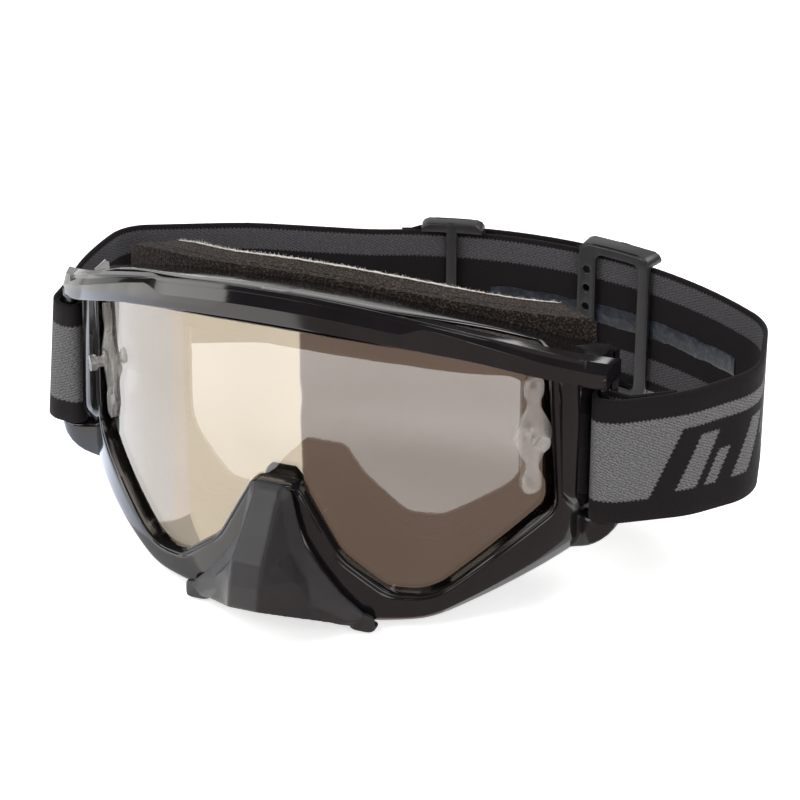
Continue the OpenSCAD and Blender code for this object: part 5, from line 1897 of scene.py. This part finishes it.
@dataclass
class Studio:
    """Camera at the photograph's angle, soft lights, pale floor and the boards that the gloss reflects."""

    target: Triple = (27.2, -8.0, 4.0)
    azimuth: float = 20.8
    elevation: float = 27.8
    distance: float = 900.0
    focal_px: float = 3003.0
    photo_px: float = 800.0
    sensor: float = 36.0
    floor_z: float = -59.6
    sweep: float = 4000.0
    sweep_glow: float = 0.62
    room: float = 1500.0
    dome: float = 0.36
    black: float = 0.1
    # Boards just over the floor: name, corners as (x, y), strength and colour. The reflectors on the left and
    # the flag on the right meet on a line straight ahead of the lens, which draws the mirror's edge
    floor_boards: Tuple[Tuple[str, Tuple[Pair, ...], float, str], ...] = (
        ("warm_reflector", ((9, -40), (-121, -560), (-900, -560), (-900, -400), (-71, -50)), 2.4, "#fffdf8"),
        ("pearl_reflector", ((-71, -50), (-270, -140), (-272, -105), (-71, -37)), 2.8, "#f1f1f8"),
        ("cool_reflector", ((-71, -37), (-272, -105), (-274, 50), (-83, 35)), 3.0, "#e4eaf8"),
        ("tip_reflector", ((-83, 35), (-274, 50), (-275, 150), (-95, 100)), 1.7, "#e8ebf2"),
        ("grey_flag", ((9, -40), (-121, -560), (500, -900), (900, 100), (110, 0)), 0.52, "#ffe8e2"),
        ("back_floor_flag", ((-900, 450), (600, 450), (600, 1450), (-900, 1450)), 0.55, "#fffdf8"))
    # A curved card over them lights the brow bar's front: its near and far edge, and its pieces' strengths
    card_near: Tuple[Pair, ...] = (
        (-216, 108), (-240, 48), (-246, -18), (-236, -60), (-216, -121), (-157, -190))
    card_far: Tuple[Pair, ...] = (
        (-275, 150), (-310, 60), (-312, -30), (-298, -90), (-270, -165), (-185, -255))
    cards: Tuple[Tuple[str, float], ...] = (
        ("brow_card_left_0", 1.7), ("brow_card_left_1", 2.3), ("brow_card_left_2", 2.9),
        ("brow_card_left_3", 3.5), ("brow_card_right", 2.8))

    def camera(self) -> None:
        """Puts the camera where the photographer stood."""
        a, e = math.radians(self.azimuth), math.radians(self.elevation)
        away = Vector((math.sin(a) * math.cos(e), -math.cos(a) * math.cos(e), math.sin(e)))
        data = bpy.data.cameras.new("photo_camera")
        data.sensor_width = self.sensor
        data.lens = self.focal_px * self.sensor / self.photo_px
        data.clip_end = 10
        camera = linked("photo_camera", data)
        camera.location = (Vector(self.target) + away * self.distance) * MM
        camera.rotation_euler = (-away).to_track_quat("-Z", "Y").to_euler()
        bpy.context.scene.camera = camera

    @staticmethod
    def light(name: str, spot: Triple, size: Pair, watts: float) -> None:
        """A rectangular softbox aimed at the goggles."""
        data = bpy.data.lights.new(name, "AREA")
        data.shape = "RECTANGLE"
        data.size, data.size_y = size[0] * MM, size[1] * MM
        data.energy = watts
        lamp = linked(name, data)
        lamp.location = Vector(spot) * MM
        lamp.rotation_euler = (Vector((20, 0, 0)) - Vector(spot)).to_track_quat("-Z", "Y").to_euler()

    @staticmethod
    def board(name: str, corners: Sequence[Triple], strength: float, colour: str = "#fffdf8") -> None:
        """A reflector or flag that only reflections see."""
        obj = new_mesh(name, np.array(corners), [list(range(len(corners)))])
        material = bpy.data.materials.new(f"{name}_paper")
        tree = fresh_tree(material)
        glow = add(tree, "Emission", {"Color": linear(colour), "Strength": strength})
        add(tree, "OutputMaterial", {"Surface": glow.outputs[0]})
        obj.data.materials.append(material)
        for ray in ("camera", "diffuse", "shadow", "volume_scatter"):
            setattr(obj, f"visible_{ray}", False)

    def upright(self, name: str, a: Pair, b: Pair, heights: Pair, strength: float) -> None:
        """A board that stands on the line from a to b."""
        foot, head = heights
        self.board(name, [(*a, foot), (*b, foot), (*b, head), (*a, head)], strength)

    def floor(self) -> None:
        """A pale paper sweep that is white to the camera apart from the goggles' shadow."""
        far, z = self.sweep, self.floor_z
        corners = [(-far, -far, z), (far, -far, z), (far, far, z), (-far, far, z)]
        obj = new_mesh("floor", np.array(corners), [range(4)])
        material = bpy.data.materials.new("white_sweep_paper")
        tree = fresh_tree(material)
        grain = noise(tree, add(tree, "TexCoord").outputs["Object"], 3.0, 3.0)
        paper = add(tree, "BsdfPrincipled", {
            "Base Color": ramp(tree, grain, [(0.2, "#f4f3f1"), (0.8, "#ffffff")]), "Roughness": 0.95,
            "Specular IOR Level": 0.1, "Emission Color": (1, 1, 1, 1),
            "Emission Strength": calc(tree, "MULTIPLY", seen_sharply(tree), self.sweep_glow)})
        add(tree, "OutputMaterial", {"Surface": paper.outputs[0]})
        obj.data.materials.append(material)

    def world(self) -> None:
        """White to the camera, glass and gloss, and a plain grey dome as light."""
        world = bpy.data.worlds.new("studio_room")
        bpy.context.scene.world = world
        tree = fresh_tree(world)
        strength = spread(tree, seen_sharply(tree), self.dome, 1.0)
        sky = add(tree, "Background", {"Color": (1, 1, 1, 1), "Strength": strength})
        add(tree, "OutputWorld", {"Surface": sky.outputs[0]})

    def reflections(self) -> None:
        """The boards that the lens and the gloss reflect, and the flags that close off the rest."""
        for name, corners, strength, colour in self.floor_boards:
            self.board(name, [(*spot, self.floor_z + 1) for spot in corners], strength, colour)
        z = self.floor_z + 2
        near = [(*spot, z) for spot in self.card_near]
        far_side = [(*spot, z) for spot in self.card_far]
        for k, (name, strength) in enumerate(self.cards):
            self.board(name, [near[k], near[k + 1], far_side[k + 1], far_side[k]], strength)
        self.upright("side_wall", (-600, -740), (-600, -180), (-40, 260), 4.5)
        self.upright("back_softbox", (-560, 520), (-180, 640), (290, 480), 0.8)
        self.upright("tip_softbox", (-800, 430), (-560, 520), (250, 480), 1.9)
        far, tall, low = self.room, self.room * 0.8, self.floor_z - 2
        self.board("ceiling_flag", [(-far, -far, tall), (far, -far, tall), (far, far, tall), (-far, far, tall)],
                   self.black)
        self.upright("front_flag", (-far, -far), (far, -far), (low, tall), self.black)
        self.upright("right_flag", (far, -far), (far, far), (low, tall), self.black)
        self.upright("back_flag", (far, far), (-far * 0.1, far), (low, tall), self.black)
        self.upright("left_flag", (-far, -far), (-far, far), (300, tall), self.black)

    def build(self) -> None:
        """Sets up the whole studio."""
        bpy.context.scene.view_settings.view_transform = "Standard"
        self.camera()
        self.world()
        self.floor()
        self.light("key_softbox", (-420, -520, 620), (520, 520), 4.6)
        self.light("rim_softbox", (380, 420, 560), (600, 300), 3.4)
        self.light("fill_softbox", (560, -380, 260), (420, 420), 1.6)
        self.reflections()


def main() -> None:
    """Builds the goggles piece by piece, in the order in which they are put together."""
    logging.basicConfig(level=logging.INFO, format="%(message)s")
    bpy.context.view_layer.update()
    layout = Layout()
    Studio().build()
    FrameMoulding(layout).build()
    FrameBody(layout).build()
    BrowBar(layout).build()
    for side in Side:
        StrapArms(layout).build(side)
    LensSheet(layout).build()
    TearOffPosts().build()
    NoseGuard(layout).build()
    FaceFoam(layout).build()
    strap = Strap(layout)
    strap.build()
    JoiningRing(strap).build()
    AdjustingSlider(strap).build()


if __name__ == "__main__":
    main()
